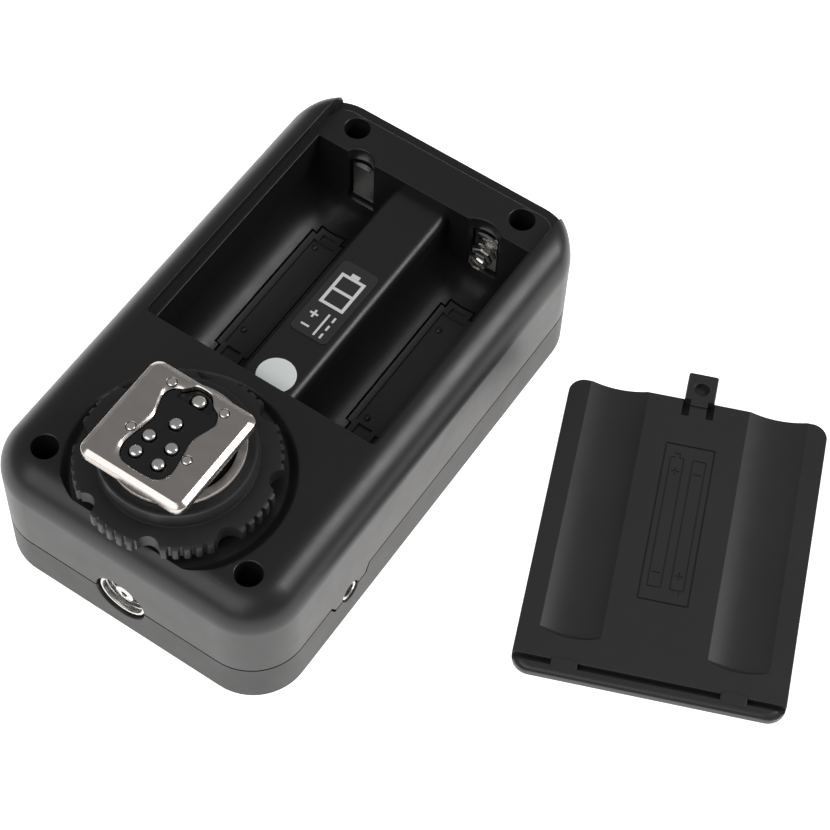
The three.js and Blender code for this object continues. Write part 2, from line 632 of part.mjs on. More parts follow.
// The cover lies inside up, so its outer face is at z = 0. Its own +Y end carries the latch.
function batteryCover() {
  const half = COVER.width / 2;
  const { near, far } = COVER;
  const groove = COVER_GROOVE;
  const layer = (z, inset, lift = 0) => ({
    z,
    points: roundedPoints(
      -half + inset, half - inset, near + inset + lift, far - inset, COVER.nearR, COVER.farR, 6,
    ),
  });
  const plate = loft([layer(0, 0.2, 1.2), layer(0.25, 0, 0.6), layer(0.8, 0, 0.15), layer(1.3, 0), layer(COVER.t, 0)]);
  const bead = loft([layer(1.1, 0), layer(1.8, 0.1), layer(2.3, 0.4), layer(groove.lipTop, 0.9)]);
  let cover = join(plate, bead.intersect(box(-half - 1, half + 1, near - 1, groove.near, 1, 4)));
  const troughZ = COVER.t - COVER_TROUGH.depth + COVER_TROUGH.r;
  for (const x of [-COVER_TROUGH.x, COVER_TROUGH.x]) {
    cover = cut(cover, rod('y', COVER_TROUGH.r, COVER_TROUGH.near, far + 5, x, troughZ, 80));
  }
  cover = cut(cover, box(-half - 1, half + 1, groove.near, groove.far, groove.z, 5));
  for (const x of [-COVER_TROUGH.x, COVER_TROUGH.x]) {
    cover = join(cover, roundedBox(x - 2.1, x + 2.1, groove.near - 0.5, groove.far + 0.3, 0.9, 2.75, 0.5, 3));
  }
  const frame = cut(
    roundedBox(-4.2, 4, -11.2, 18, COVER.t - 0.25, COVER.t + 1, 0.3, 2),
    roundedBox(-3.9, 3.7, -10.9, 17.7, COVER.t - 1, COVER.t + 2, 0.2, 2),
  );
  cover = cut(cover, frame);
  const tab = cut(
    box(-2.45, 2.45, far - 1.2, far + 5, 1.2, 2.8),
    rod('z', 1.25, 1.7, 5, 0, far + 2, 20),
  );
  cover = join(cover, tab);
  return cut(
    cover,
    box(-2.6, -1.4, far - 3.2, far - 0.2, 0.7, 5),
    box(1.4, 2.6, far - 3.2, far - 0.2, 0.7, 5),
  );
}

// ---------------------------------------------------------------- assembly

const trigger = new THREE.Group();

function add(name, solid, material, parent = trigger) {
  const mesh = new THREE.Mesh(toGeometry(solid), material);
  mesh.name = name;
  parent.add(mesh);
  return mesh;
}

add('rear_case', rearCase(), blackCase());
add('front_case', frontCase(), blackCase());

add('foot_block', footBlock(), blackInner());
add('foot_plate', footPlate(), steel());
RIVETS.forEach(([x, y], i) => add(`plate_rivet_${i + 1}`, plateRivet(x, y), steel()));
CONTACTS.forEach(([x, y], i) => add(`contact_pin_${i + 1}`, contactPin(x, y), chrome()));
add('locking_pin', lockingPin(), steel());
add('pressure_ring', tube('z', RING.r, STEM.runR, RING.z0, RING.z1, 0, FOOT.y, 36), steel());
add('locking_wheel', lockingWheel(), plastic(0x29282a, 0.45));

add('cell_pad_left', cellPad(-1), blackInner());
add('cell_pad_right', cellPad(1), blackInner());
add('spine_label', spineLabel(), plastic(0x2b2b2d, 0.4));
add('seal_sticker', sealSticker(), plastic(0xe9f1ef, 0.6));
add('far_contact_left', farContact(-1), chrome());
add('far_contact_right', farContact(1), chrome());
add('far_spring', coil('y', [12, 16.5], 36, 33.4, 2.1, 1.5, 3, 0.25), chrome());
add('near_bridge', box(-18, 18, -16.75, -16.35, 12, 21.5), chrome());
add('near_spring', coil('y', [-12.8, 16.9], -16, -12.6, 2.8, 1.8, 4, 0.3), chrome());

SCREWS.forEach(([x, y], i) => {
  const profile = [[0, 3.6], [0.7, 3.6], [0.75, 11.1], [1.8, 11.1], [1.8, 12.2], [1.3, 12.7], [0, 12.7]];
  const cross = join(box(x - 1, x + 1, y - 0.2, y + 0.2, 12, 13), box(x - 0.2, x + 0.2, y - 1, y + 1, 12, 13));
  add(`case_screw_${i + 1}`, cut(turned(profile, x, y, 14), cross), steel());
});

add('pc_socket_ring', pcSocketRing(), chrome());
add('pc_socket_insulator', pcSocketInsulator(), plastic(0x202020, 0.6));
add('pc_socket_pin', pcSocketPin(), chrome());
add('jack_body', jackBody(), plastic(0x101010, 0.5));
add('jack_sleeve', jackSleeve(), chrome());

add('shoe_frame', shoeFrame(), steel());
add('shoe_contact_block', shoeContactBlock(), blackInner());
CONTACTS.forEach(([x, y], i) => add(`shoe_contact_${i + 1}`, shoeContact(x, y), brass()));

for (const [name, x, y] of BUTTONS) {
  add(`${name}_button`, pushButton(x, y), plastic(0x3a3a3d, 0.5));
  add(`${name}_switch`, pushSwitch(x, y), plastic(0x0e0e0e, 0.4));
}
add('status_lens', roundedBox(-4.7, 4.7, 22.8, 25.2, 0.25, 2.8, 1.19), plastic(0x9a2020, 0.2));
add('power_knob', powerKnob(), plastic(0x3a3a3d, 0.55));
add('power_switch', box(-24.3, -19.4, POWER.y - 2.4, POWER.y + 2.4 + POWER.travel, 2.7, 6.3), metal(0x9a9a9a, 0.4));

add('main_board', mainBoard(), board());
add('rf_board', box(-20.2, -8, -32.5, -20, BOARD.z + BOARD.t + 0.1, 8.6), board());
add('rf_shield', rfShield(), steel());
add('antenna', coil('z', [-22, -22], 8.2, 17, 1.3, 1.3, 5, 0.3), brass());
add('control_chip', box(3, 10, -29, -22, BOARD.z + BOARD.t + 0.1, 8.7), blackInner());
add('crystal', roundedBox(-5, 2, -33.4, -30, BOARD.z + BOARD.t + 0.1, 10.6, 1.6), chrome());
add('capacitor', rod('z', 2.5, BOARD.z + BOARD.t + 0.1, 16.5, 16, -31, 20), plastic(0x22305c, 0.4));

const cover = new THREE.Group();
cover.position.set(COVER.x, COVER.y, 0);
cover.rotation.z = THREE.MathUtils.degToRad(COVER.turn);
trigger.add(cover);
add('battery_cover', batteryCover(), blackCover(), cover);

export default trigger;
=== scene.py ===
"""Looks of the wireless flash trigger: fine meshes, materials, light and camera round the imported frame."""

import math

import bmesh
import bpy
from mathutils import Matrix, Vector


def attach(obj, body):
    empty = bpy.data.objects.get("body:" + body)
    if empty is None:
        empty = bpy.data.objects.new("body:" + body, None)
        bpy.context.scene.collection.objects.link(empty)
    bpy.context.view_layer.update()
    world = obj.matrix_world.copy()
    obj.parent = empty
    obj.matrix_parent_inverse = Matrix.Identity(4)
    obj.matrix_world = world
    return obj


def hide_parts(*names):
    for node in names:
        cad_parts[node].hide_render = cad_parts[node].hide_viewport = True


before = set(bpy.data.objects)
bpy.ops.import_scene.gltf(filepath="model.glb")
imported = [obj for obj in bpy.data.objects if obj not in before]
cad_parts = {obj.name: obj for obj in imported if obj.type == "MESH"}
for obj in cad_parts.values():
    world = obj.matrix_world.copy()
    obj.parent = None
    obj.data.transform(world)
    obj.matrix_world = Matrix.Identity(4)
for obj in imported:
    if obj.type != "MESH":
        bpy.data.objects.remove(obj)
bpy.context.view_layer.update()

# ------------------------------------------------------------------ driving dimensions, millimetres

MM = 0.001
WIDTH, LENGTH, TOP = 53.4, 89.5, 26.2
HALF_W, HALF_L = WIDTH / 2, LENGTH / 2
CORNER_R, SIDE_R, END_R, FRONT_R = 9.0, 6.0, 2.4, 0.5
WALL = 1.8
PARTING_Z, PARTING_GAP = 8.7, 0.34
TONGUE_FROM, TONGUE_TO, TONGUE_Z, TONGUE_SLOPE = -28.2, -17.6, 6.7, 1.3
FOOT_Y, PLATE_Y = -29.1, -30.7
PLATE_W, PLATE_L, PLATE_T, PLATE_CORNER = 18.6, 19.2, 2.0, 1.7
PLATE_TOP = TOP + 12.6
PLATE_BOTTOM = PLATE_TOP - PLATE_T
STEM_R, FLANGE_R, NECK_W, RUN_R = 8.7, 11.2, 12.4, 9.0
WHEEL_R, WHEEL_Z0, WHEEL_RIM_Z, WHEEL_Z1, BOSS_R, HUB_R = 15.7, 25.7, 27.2, 30.2, 12.0, 12.8
NOTCHES, TEETH, NOTCH_HALF, NOTCH_DEPTH, TOOTH_DEPTH = 8, 5, 6.5, 1.8, 0.6
WHEEL_FALL, FIRST_NOTCH = 0.45, 20
RECESS_Z, RECESS_R, RECESS_RIM = 25.3, 16.1, 18.0
RING_R, RING_Z0, RING_Z1 = 10.4, 33.35, 34.15
BAY_HALF, BAY_NEAR, BAY_FAR, LAND_Z = 21.4, -9.1, 35.6, 23.9
CELL_X, CELL_Z, CELL_R, CELL_NEAR, TUB_NEAR = 12.8, 17.2, 7.5, -16.9, -18.2
LAND_END, LAND_CORNER_R, STEP_DROP = 42.9, 3.2, 0.8
SPINE_HALF, SPINE_Z, SPINE_EDGE_R = 5.3, 21.9, 1.6
WINDOW_HALF, WINDOW_END_HALF, WINDOW_NEAR, WINDOW_FAR, WINDOW_REACH = 3.3, 2.5, 0.3, 27.6, 3.3
WINDOW_HEIGHTS = 8, 12
FAR_NOTCHES = [(-1, 5.1, 1.6), (1, 6.0, 1.2)]
FAR_CONTACT_X, FAR_CONTACT_Y = 12.0, 36.5
SCREWS = [(-18.7, -37.4), (18.7, -37.4), (-16.0, 40.3), (16.0, 40.3)]
CONTACTS = [(0, 1.9), (-2, -1.8), (2, -1.8), (-2, -5), (2, -5)]
RIVETS = [(-4.7, 7.2), (4.7, 7.2), (-5, -2.2), (5, -2.2)]
LOCK_PIN_Y = PLATE_Y + 7.3
PC_X, PC_Z, PC_R, PC_BORE, PC_HOLE, PC_FACE, PC_INNER = -0.6, 8.7, 4.2, 3.7, 4.5, 0.5, 5.3
PC_FLANGE_R, PC_HUB_R, PC_HUB_FACE = 5.2, 1.7, 1.0
JACK_Y, JACK_Z, JACK_HOLE_R = -22.9, 6.8, 1.95
SHOE_POCKET = 11.4, -37.9, -1.4, 4.4
POWER_Y, POWER_Z = 5.3, 4.7
COVER_X, COVER_Y, COVER_TURN = 62.1, 15.4, 21.8
COVER_W, COVER_T, COVER_NEAR, COVER_FAR, COVER_NEAR_R, COVER_FAR_R = 42.5, 2.3, -27.3, 26.8, 3.0, 2.6
COVER_TROUGH_X, COVER_TROUGH_R, COVER_TROUGH_DEPTH, COVER_TROUGH_NEAR = 13.1, 11.2, 1.1, -20.4
GROOVE_NEAR, GROOVE_FAR, GROOVE_Z, LIP_TOP = -25.6, -24.4, 1.1, 2.6
HOOK_HALF, HOOK_Z0, HOOK_Z1, TAB_HALF = 2.1, 0.9, 2.75, 2.45
FLOOR_HALF = 1500

# ------------------------------------------------------------------ camera

CAMERA_AZIMUTH, CAMERA_ELEVATION, CAMERA_ROLL = 31.38, 58.10, 3.09
CAMERA_DISTANCE = 402.1 * MM
CAMERA_TARGET = Vector((14.80, 12.69, 0)) * MM
CAMERA_LENS = 107.0


def make_camera():
    azimuth, elevation, roll = (
        math.radians(a) for a in (CAMERA_AZIMUTH, CAMERA_ELEVATION, CAMERA_ROLL)
    )
    back = Vector((math.sin(azimuth) * math.cos(elevation), -math.cos(azimuth) * math.cos(elevation),
                   math.sin(elevation)))
    right = Vector((math.cos(azimuth), math.sin(azimuth), 0))
    up = back.cross(right)
    rolled_right = right * math.cos(roll) + up * math.sin(roll)
    rolled_up = up * math.cos(roll) - right * math.sin(roll)
    data = bpy.data.cameras.new("camera")
    data.lens = CAMERA_LENS
    data.sensor_width = 36
    data.clip_start = 0.01
    camera = bpy.data.objects.new("camera", data)
    turn = Matrix((rolled_right, rolled_up, back)).transposed().to_4x4()
    camera.matrix_world = Matrix.Translation(CAMERA_TARGET + back * CAMERA_DISTANCE) @ turn
    bpy.context.scene.collection.objects.link(camera)
    bpy.context.scene.camera = camera


make_camera()

# ------------------------------------------------------------------ mesh tools, in millimetres and degrees

WELD, FLAT_ANGLE = 2e-3, 0.05
FLARE_ANGLE, FLARE_OVER = 78, 0.1


def solid(name, verts, faces):
    """A closed mesh object from millimetre points; finish_piece() scales it to metres."""
    mesh = bpy.data.meshes.new(name)
    mesh.from_pydata([Vector(v) for v in verts], [], faces)
    obj = bpy.data.objects.new(name, mesh)
    bpy.context.scene.collection.objects.link(obj)
    return obj


def face_outwards(obj):
    bm = bmesh.new()
    bm.from_mesh(obj.data)
    bmesh.ops.recalc_face_normals(bm, faces=bm.faces)
    bm.to_mesh(obj.data)
    bm.free()
    return obj


def loft(layers, name="loft"):
    """A closed skin through (z, points) layers that all have the same number of points."""
    count = len(layers[0][1])
    verts = [(x, y, z) for z, points in layers for x, y in points]
    faces = []
    for row in range(len(layers) - 1):
        for i in range(count):
            a, b = row * count + i, row * count + (i + 1) % count
            faces.append((a, b, b + count, a + count))
    faces.append(tuple(reversed(range(count))))
    faces.append(tuple((len(layers) - 1) * count + i for i in range(count)))
    return face_outwards(solid(name, verts, faces))


def prism(points, z0, z1, name="prism"):
    return loft([(z0, points), (z1, points)], name)


def box(x0, x1, y0, y1, z0, z1):
    return prism([(x0, y0), (x1, y0), (x1, y1), (x0, y1)], z0, z1, "box")


def rounded_outline(x0, x1, y0, y1, near_r, far_r=None, steps=10):
    """A rounded rectangle, anticlockwise from its near right corner."""
    far_r = near_r if far_r is None else far_r
    corners = [
        (x1 - near_r, y0 + near_r, -90, near_r),
        (x1 - far_r, y1 - far_r, 0, far_r),
        (x0 + far_r, y1 - far_r, 90, far_r),
        (x0 + near_r, y0 + near_r, 180, near_r),
    ]
    points = []
    for cx, cy, start, r in corners:
        for i in range(steps + 1):
            angle = math.radians(start + 90 * i / steps)
            points.append((cx + r * math.cos(angle), cy + r * math.sin(angle)))
    return points


def rounded_box(x0, x1, y0, y1, z0, z1, r, steps=10):
    return prism(rounded_outline(x0, x1, y0, y1, r, r, steps), z0, z1)


def circle(r, segments, cx=0.0, cy=0.0):
    return [
        (cx + r * math.cos(math.tau * i / segments), cy + r * math.sin(math.tau * i / segments))
        for i in range(segments)
    ]


AXIS_TURNS = {
    "z": Matrix.Identity(4),
    "y": Matrix(((1, 0, 0, 0), (0, 0, 1, 0), (0, 1, 0, 0), (0, 0, 0, 1))),
    "x": Matrix(((0, 0, 1, 0), (1, 0, 0, 0), (0, 1, 0, 0), (0, 0, 0, 1))),
}


def set_on_axis(obj, axis, u, v):
    """Turns a mesh made about Z to X, Y or Z, through (u, v): the two other coordinates in X, Y, Z order."""
    obj.data.transform(AXIS_TURNS[axis])
    shift = {"z": (u, v, 0), "y": (u, 0, v), "x": (0, u, v)}[axis]
    obj.data.transform(Matrix.Translation(shift))
    return face_outwards(obj)


def turned(profile, axis="z", u=0.0, v=0.0, segments=64):
    """(radius, height) points that start and end on the axis, turned about X, Y or Z through (u, v)."""
    rings = profile[1:-1]
    verts = [(0, 0, profile[0][1])]
    for r, h in rings:
        verts += [(x, y, h) for x, y in circle(r, segments)]
    verts.append((0, 0, profile[-1][1]))
    last = len(verts) - 1
    faces = []
    for i in range(segments):
        j = (i + 1) % segments
        faces.append((0, 1 + j, 1 + i))
        for row in range(len(rings) - 1):
            a, b = 1 + row * segments + i, 1 + row * segments + j
            faces.append((a, b, b + segments, a + segments))
        top = 1 + (len(rings) - 1) * segments
        faces.append((last, top + i, top + j))
    return set_on_axis(solid("turned", verts, faces), axis, u, v)


def rod(axis, r, a, b, u=0.0, v=0.0, segments=64):
    return turned([(0, a), (r, a), (r, b), (0, b)], axis, u, v, segments)


def along_y(section, y0, y1):
    """A section of (x, z) points pushed along Y."""
    obj = prism(section, 0, y1 - y0)
    obj.data.transform(Matrix(((1, 0, 0, 0), (0, 0, 1, y0), (0, 1, 0, 0), (0, 0, 0, 1))))
    return face_outwards(obj)


def along_x(section, x0, x1):
    """A section of (y, z) points pushed along X."""
    obj = prism(section, 0, x1 - x0)
    obj.data.transform(Matrix(((0, 0, 1, x0), (1, 0, 0, 0), (0, 1, 0, 0), (0, 0, 0, 1))))
    return face_outwards(obj)


def bake(obj):
    """Applies the object's modifiers to its mesh."""
    graph = bpy.context.evaluated_depsgraph_get()
    mesh = bpy.data.meshes.new_from_object(obj.evaluated_get(graph))
    obj.modifiers.clear()
    obj.data = mesh


def combine(operation, base, others):
    for other in others:
        modifier = base.modifiers.new("combine", "BOOLEAN")
        modifier.operation = operation
        modifier.solver = "MANIFOLD"
        modifier.object = other
    bake(base)
    for other in others:
        bpy.data.objects.remove(other)
    return base


def join(base, *others):
    return combine("UNION", base, others)


def cut(base, *others):
    return combine("DIFFERENCE", base, others)


def common(base, *others):
    return combine("INTERSECT", base, others)


def clean(obj):
    """Welds the mesh and merges its flat triangles into whole faces."""
    bm = bmesh.new()
    bm.from_mesh(obj.data)
    bmesh.ops.remove_doubles(bm, verts=bm.verts, dist=WELD)
    bmesh.ops.dissolve_degenerate(bm, edges=bm.edges, dist=WELD)
    bmesh.ops.dissolve_limit(bm, angle_limit=math.radians(FLAT_ANGLE), verts=bm.verts, edges=bm.edges)
    bm.to_mesh(obj.data)
    bm.free()


def flare(edge, r, steps=4):
    """(height, growth) pairs of a cutter that rounds an opening's rim by r, where the face is at `edge`."""
    last = math.radians(FLARE_ANGLE)
    pairs = []
    for i in range(steps + 1):
        angle = last * i / steps
        pairs.append((edge - r + r * math.sin(angle), r * (1 - math.cos(angle))))
    rise = FLARE_OVER + r * (1 - math.sin(last))
    return pairs + [(pairs[-1][0] + rise, pairs[-1][1] + rise * math.tan(last))]


def well(r, bottom, edge, x, y, rim=0.25, segments=48):
    """A round cutter along Z with a rounded rim at the height `edge`."""
    profile = [(0, bottom), (r, bottom)] + [(r + growth, z) for z, growth in flare(edge, rim)]
    return turned(profile + [(0, profile[-1][1])], "z", x, y, segments)


def lathe_ring(profile, axis, u, v, segments=96):
    """A closed loop of (radius, height) points turned about an axis, as a ring."""
    count = len(profile)
    verts = [(r * math.cos(math.tau * i / segments), r * math.sin(math.tau * i / segments), h)
             for i in range(segments) for r, h in profile]
    faces = []
    for i in range(segments):
        j = (i + 1) % segments
        for k in range(count):
            m = (k + 1) % count
            faces.append((i * count + k, j * count + k, j * count + m, i * count + m))
    return set_on_axis(solid("ring", verts, faces), axis, u, v)


def finish_piece(obj, name, nodes, body, material, smooth_angle=40):
    """Names a finished millimetre mesh, brings it to metres and hands it to the frame."""
    obj.name = name
    obj.data.name = name
    obj.data.transform(Matrix.Scale(MM, 4))
    obj.data.shade_smooth()
    obj.data.set_sharp_from_angle(angle=math.radians(smooth_angle))
    modifier = obj.modifiers.new("normals", "WEIGHTED_NORMAL")
    modifier.keep_sharp = True
    bake(obj)
    obj.data.materials.clear()
    obj.data.materials.append(material)
    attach(obj, body)
    if nodes:
        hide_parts(*nodes)


# ------------------------------------------------------------------ materials


def new_shader(name):
    material = bpy.data.materials.new(name)
    material.use_nodes = True
    tree = material.node_tree
    tree.nodes.clear()
    output = tree.nodes.new("ShaderNodeOutputMaterial")
    surface = tree.nodes.new("ShaderNodeBsdfPrincipled")
    tree.links.new(surface.outputs["BSDF"], output.inputs["Surface"])
    return material, tree, surface


def noise(tree, scale, detail=2.0, stretch=(1, 1, 1)):
    """Noise in the piece's own place; scale is in features a metre."""
    place = tree.nodes.new("ShaderNodeTexCoord")
    mapping = tree.nodes.new("ShaderNodeMapping")
    mapping.inputs["Scale"].default_value = stretch
    texture = tree.nodes.new("ShaderNodeTexNoise")
    texture.inputs["Scale"].default_value = scale
    texture.inputs["Detail"].default_value = detail
    tree.links.new(place.outputs["Object"], mapping.inputs["Vector"])
    tree.links.new(mapping.outputs["Vector"], texture.inputs["Vector"])
    return texture.outputs["Fac"]


def spread(tree, factor, low, high, from_low=0.3, from_high=0.7):
    """Maps noise to a range of values."""
    node = tree.nodes.new("ShaderNodeMapRange")
    node.inputs["From Min"].default_value = from_low
    node.inputs["From Max"].default_value = from_high
    node.inputs["To Min"].default_value = low
    node.inputs["To Max"].default_value = high
    tree.links.new(factor, node.inputs["Value"])
    return node.outputs["Result"]


def blend_colours(tree, factor, first, second):
    node = tree.nodes.new("ShaderNodeMix")
    node.data_type = "RGBA"
    node.inputs["A"].default_value = (*first, 1)
    node.inputs["B"].default_value = (*second, 1)
    tree.links.new(factor, node.inputs["Factor"])
    return node.outputs["Result"]


def bump(tree, surface, height, distance, strength=1.0):
    node = tree.nodes.new("ShaderNodeBump")
    node.inputs["Strength"].default_value = strength
    node.inputs["Distance"].default_value = distance
    tree.links.new(height, node.inputs["Height"])
    tree.links.new(node.outputs["Normal"], surface.inputs["Normal"])


def plastic(name, colour, roughness, grain=0.012, grain_scale=4200, gloss=0.5, mottle=0.14):
    """Moulded plastic: fine spark-eroded grain, faint mottling and patches that are a little smoother."""
    material, tree, surface = new_shader(name)
    lighter = tuple(c * (1 + mottle) for c in colour)
    darker = tuple(c * (1 - mottle) for c in colour)
    tint = blend_colours(tree, noise(tree, 90, 3), darker, lighter)
    tree.links.new(tint, surface.inputs["Base Color"])
    worn = spread(tree, noise(tree, 240, 4), roughness - 0.02, roughness + 0.02)
    tree.links.new(worn, surface.inputs["Roughness"])
    surface.inputs["Specular IOR Level"].default_value = gloss
    bump(tree, surface, noise(tree, grain_scale, 2), grain * MM)
    return material


def brushed(name, colour, roughness, stretch, depth=0.004, scale=420, variation=0.08):
    """Metal with fine brush marks along the axis that the stretch leaves long."""
    material, tree, surface = new_shader(name)
    marks = noise(tree, scale, 6, stretch)
    tint = blend_colours(tree, marks, tuple(c * 0.86 for c in colour), colour)
    tree.links.new(tint, surface.inputs["Base Color"])
    surface.inputs["Metallic"].default_value = 1
    rough = spread(tree, marks, roughness - variation, roughness + variation)
    tree.links.new(rough, surface.inputs["Roughness"])
    bump(tree, surface, marks, depth * MM)
    return material


def polished(name, colour, roughness):
    """Plated metal with faint clouding and micro-scratches."""
    material, tree, surface = new_shader(name)
    clouds = noise(tree, 700, 4)
    tint = blend_colours(tree, clouds, tuple(c * 0.9 for c in colour), colour)
    tree.links.new(tint, surface.inputs["Base Color"])
    surface.inputs["Metallic"].default_value = 1
    rough = spread(tree, clouds, roughness * 0.7, roughness * 1.5)
    tree.links.new(rough, surface.inputs["Roughness"])
    bump(tree, surface, noise(tree, 5200, 3, (1, 8, 1)), 0.0015 * MM)
    return material


CASE = plastic("case_plastic", (0.0115, 0.0110, 0.0117), 0.36)
FRONT = plastic("front_shell_plastic", (0.0125, 0.0118, 0.0122), 0.45)
COVER = plastic("cover_plastic", (0.0250, 0.0240, 0.0260), 0.40, grain=0.008)
WHEEL = plastic("wheel_plastic", (0.0120, 0.0118, 0.0126), 0.46, grain=0.014)
CORE = plastic("core_plastic", (0.0070, 0.0070, 0.0074), 0.33, grain=0.004)
CONTROLS = plastic("control_plastic", (0.045, 0.045, 0.048), 0.5)
PAD = plastic("pad_plastic", (0.0260, 0.0255, 0.0265), 0.38, grain=0.006)
FILM = plastic("label_film", (0.0300, 0.0295, 0.0310), 0.30, grain=0.002, grain_scale=2600)
PRINT = plastic("label_print", (0.74, 0.74, 0.76), 0.5, grain=0.002, mottle=0.03)
PAPER = plastic("sticker_paper", (0.88, 0.93, 0.92), 0.62, grain=0.006, grain_scale=2400, mottle=0.03)
CHIP = plastic("chip_epoxy", (0.012, 0.012, 0.013), 0.5)
SLEEVE = plastic("capacitor_sleeve", (0.02, 0.04, 0.16), 0.3, grain=0.003)
LAMINATE = plastic("board_laminate", (0.015, 0.12, 0.045), 0.35, grain=0.01, grain_scale=1800)
LENS = plastic("lens_plastic", (0.30, 0.015, 0.015), 0.12, grain=0.0, gloss=0.7)
PLATE = brushed("plate_steel", (0.62, 0.58, 0.55), 0.24, (1, 2, 1), depth=0.0015, scale=260, variation=0.04)
SHOE = brushed("shoe_steel", (0.56, 0.54, 0.52), 0.3, (14, 1, 1))
RING = brushed("ring_steel", (0.60, 0.57, 0.54), 0.5, (1, 1, 1), depth=0.002)
CHROME = polished("chrome", (0.86, 0.85, 0.83), 0.2)
SPRING = polished("spring_wire", (0.62, 0.60, 0.57), 0.2)
SCREW = polished("screw_steel", (0.20, 0.20, 0.21), 0.3)
BRASS = polished("contact_brass", (0.62, 0.43, 0.17), 0.2)
CAN = brushed("can_metal", (0.6, 0.6, 0.62), 0.35, (1, 9, 1))

# ------------------------------------------------------------------ floor and light


def make_floor():
    """A plain white table, lit a little from below as a light table is."""
    half = FLOOR_HALF
    corners = [(-half, -half, 0), (half, -half, 0), (half, half, 0), (-half, half, 0)]
    floor = solid("floor", corners, [(0, 1, 2, 3)])
    floor.data.transform(Matrix.Scale(MM, 4))
    material, tree, surface = new_shader("floor_white")
    tint = blend_colours(tree, noise(tree, 12, 2), (0.90, 0.90, 0.90), (0.92, 0.92, 0.92))
    tree.links.new(tint, surface.inputs["Base Color"])
    surface.inputs["Roughness"].default_value = 0.7
    surface.inputs["Specular IOR Level"].default_value = 0.2
    surface.inputs["Emission Color"].default_value = (1, 0.985, 0.97, 1)
    surface.inputs["Emission Strength"].default_value = 1.0
    floor.data.materials.append(material)


def softbox(name, place, size, power, colour=(1, 1, 1), aim=(0.010, 0.0, 0.015)):
    """A rectangular softbox in metres, turned to face the object."""
    data = bpy.data.lights.new(name, "AREA")
    data.shape = "RECTANGLE"
    data.size, data.size_y = size
    data.energy = power
    data.color = colour
    light = bpy.data.objects.new(name, data)
    light.location = place
    light.rotation_euler = (Vector(aim) - Vector(place)).to_track_quat("-Z", "Y").to_euler()
    bpy.context.scene.collection.objects.link(light)


def make_light():
    """A dim even sky, a narrow softbox that draws the line along the side, and a wide one at the near end."""
    world = bpy.data.worlds.new("studio")
    world.use_nodes = True
    world.node_tree.nodes["Background"].inputs["Color"].default_value = (1, 1, 1, 1)
    world.node_tree.nodes["Background"].inputs["Strength"].default_value = 0.26
    bpy.context.scene.world = world
    softbox("side_softbox", (0.51, 0.36, 0.49), (0.12, 0.42), 2.4, (1, 0.985, 0.98))
    softbox("near_softbox", (-0.10, -0.75, 0.75), (1.0, 0.8), 4.5)


make_floor()
make_light()
bpy.context.scene.view_settings.view_transform = "Standard"

# ------------------------------------------------------------------ the two case shells


def body_skin(inset, corner_steps=16, fillet_steps=16):
    """The outer skin, or the skin set in: big radii on the sides and foot end, small at the battery end."""
    top, bottom = TOP - inset, inset
    side_r = SIDE_R - inset
    end_r = max(END_R - inset, 0.4)
    front_r = max(FRONT_R - inset, 0.3)

    def step_in(reach, r):
        share = max(0.0, min(1.0, reach / r))
        return r * (1 - math.sqrt(max(0.0, 1 - share * share)))

    def layer(z):
        drop = step_in(bottom + front_r - z, front_r)
        side = inset + step_in(z - (top - side_r), side_r) + drop
        end = inset + step_in(z - (top - end_r), end_r) + drop
        near_r = max(CORNER_R - side, 0.6)
        far_r = max(CORNER_R - max(side, end), 0.6)
        points = rounded_outline(
            -HALF_W + side, HALF_W - side, -HALF_L + side, HALF_L - end, near_r, far_r, corner_steps
        )
        return z, points

    quarter = math.pi / 2
    heights = [bottom + front_r * (1 - math.cos(quarter * i / 6)) for i in range(7)]
    heights += [top - side_r + side_r * math.sin(quarter * i / fillet_steps) for i in range(fillet_steps + 1)]
    return loft([layer(z) for z in heights])


def jack_tongue(grow):
    """The slab that lets the rear shell dip over the jack."""
    section = [
        (TONGUE_FROM - grow, PARTING_Z + 0.5),
        (TONGUE_FROM + TONGUE_SLOPE - grow, TONGUE_Z - grow),
        (TONGUE_TO - TONGUE_SLOPE + grow, TONGUE_Z - grow),
        (TONGUE_TO + grow, PARTING_Z + 0.5),
    ]
    inner_face = HALF_W - WALL
    return along_x(section, inner_face - 1, inner_face + 3)


def cell_section(top, edge=None, steps=28):
    """Both battery troughs and the ridge between them, open upwards, with a round rim at `edge`."""
    turn = [math.pi * i / steps for i in range(steps + 1)]
    left = [(-CELL_X - CELL_R * math.cos(a), CELL_Z - CELL_R * math.sin(a)) for a in turn]
    right = [(CELL_X - CELL_R * math.cos(a), CELL_Z - CELL_R * math.sin(a)) for a in turn]
    quarter = [math.pi / 2 * i / 8 for i in range(9)]
    r = SPINE_EDGE_R
    shoulder, crest = SPINE_HALF - r, SPINE_Z - r
    ridge_left = [(-shoulder - r * math.cos(a), crest + r * math.sin(a)) for a in quarter]
    ridge_right = [(-x, z) for x, z in reversed(ridge_left)]
    rim = [(CELL_X + CELL_R + growth, z) for z, growth in flare(edge, 0.12)] if edge else []
    reach = rim[-1][0] if rim else CELL_X + CELL_R
    mirrored = [(-x, z) for x, z in reversed(rim)]
    return [(-reach, top), *mirrored, *left, *ridge_left, *ridge_right, *right, *rim, (reach, top)]


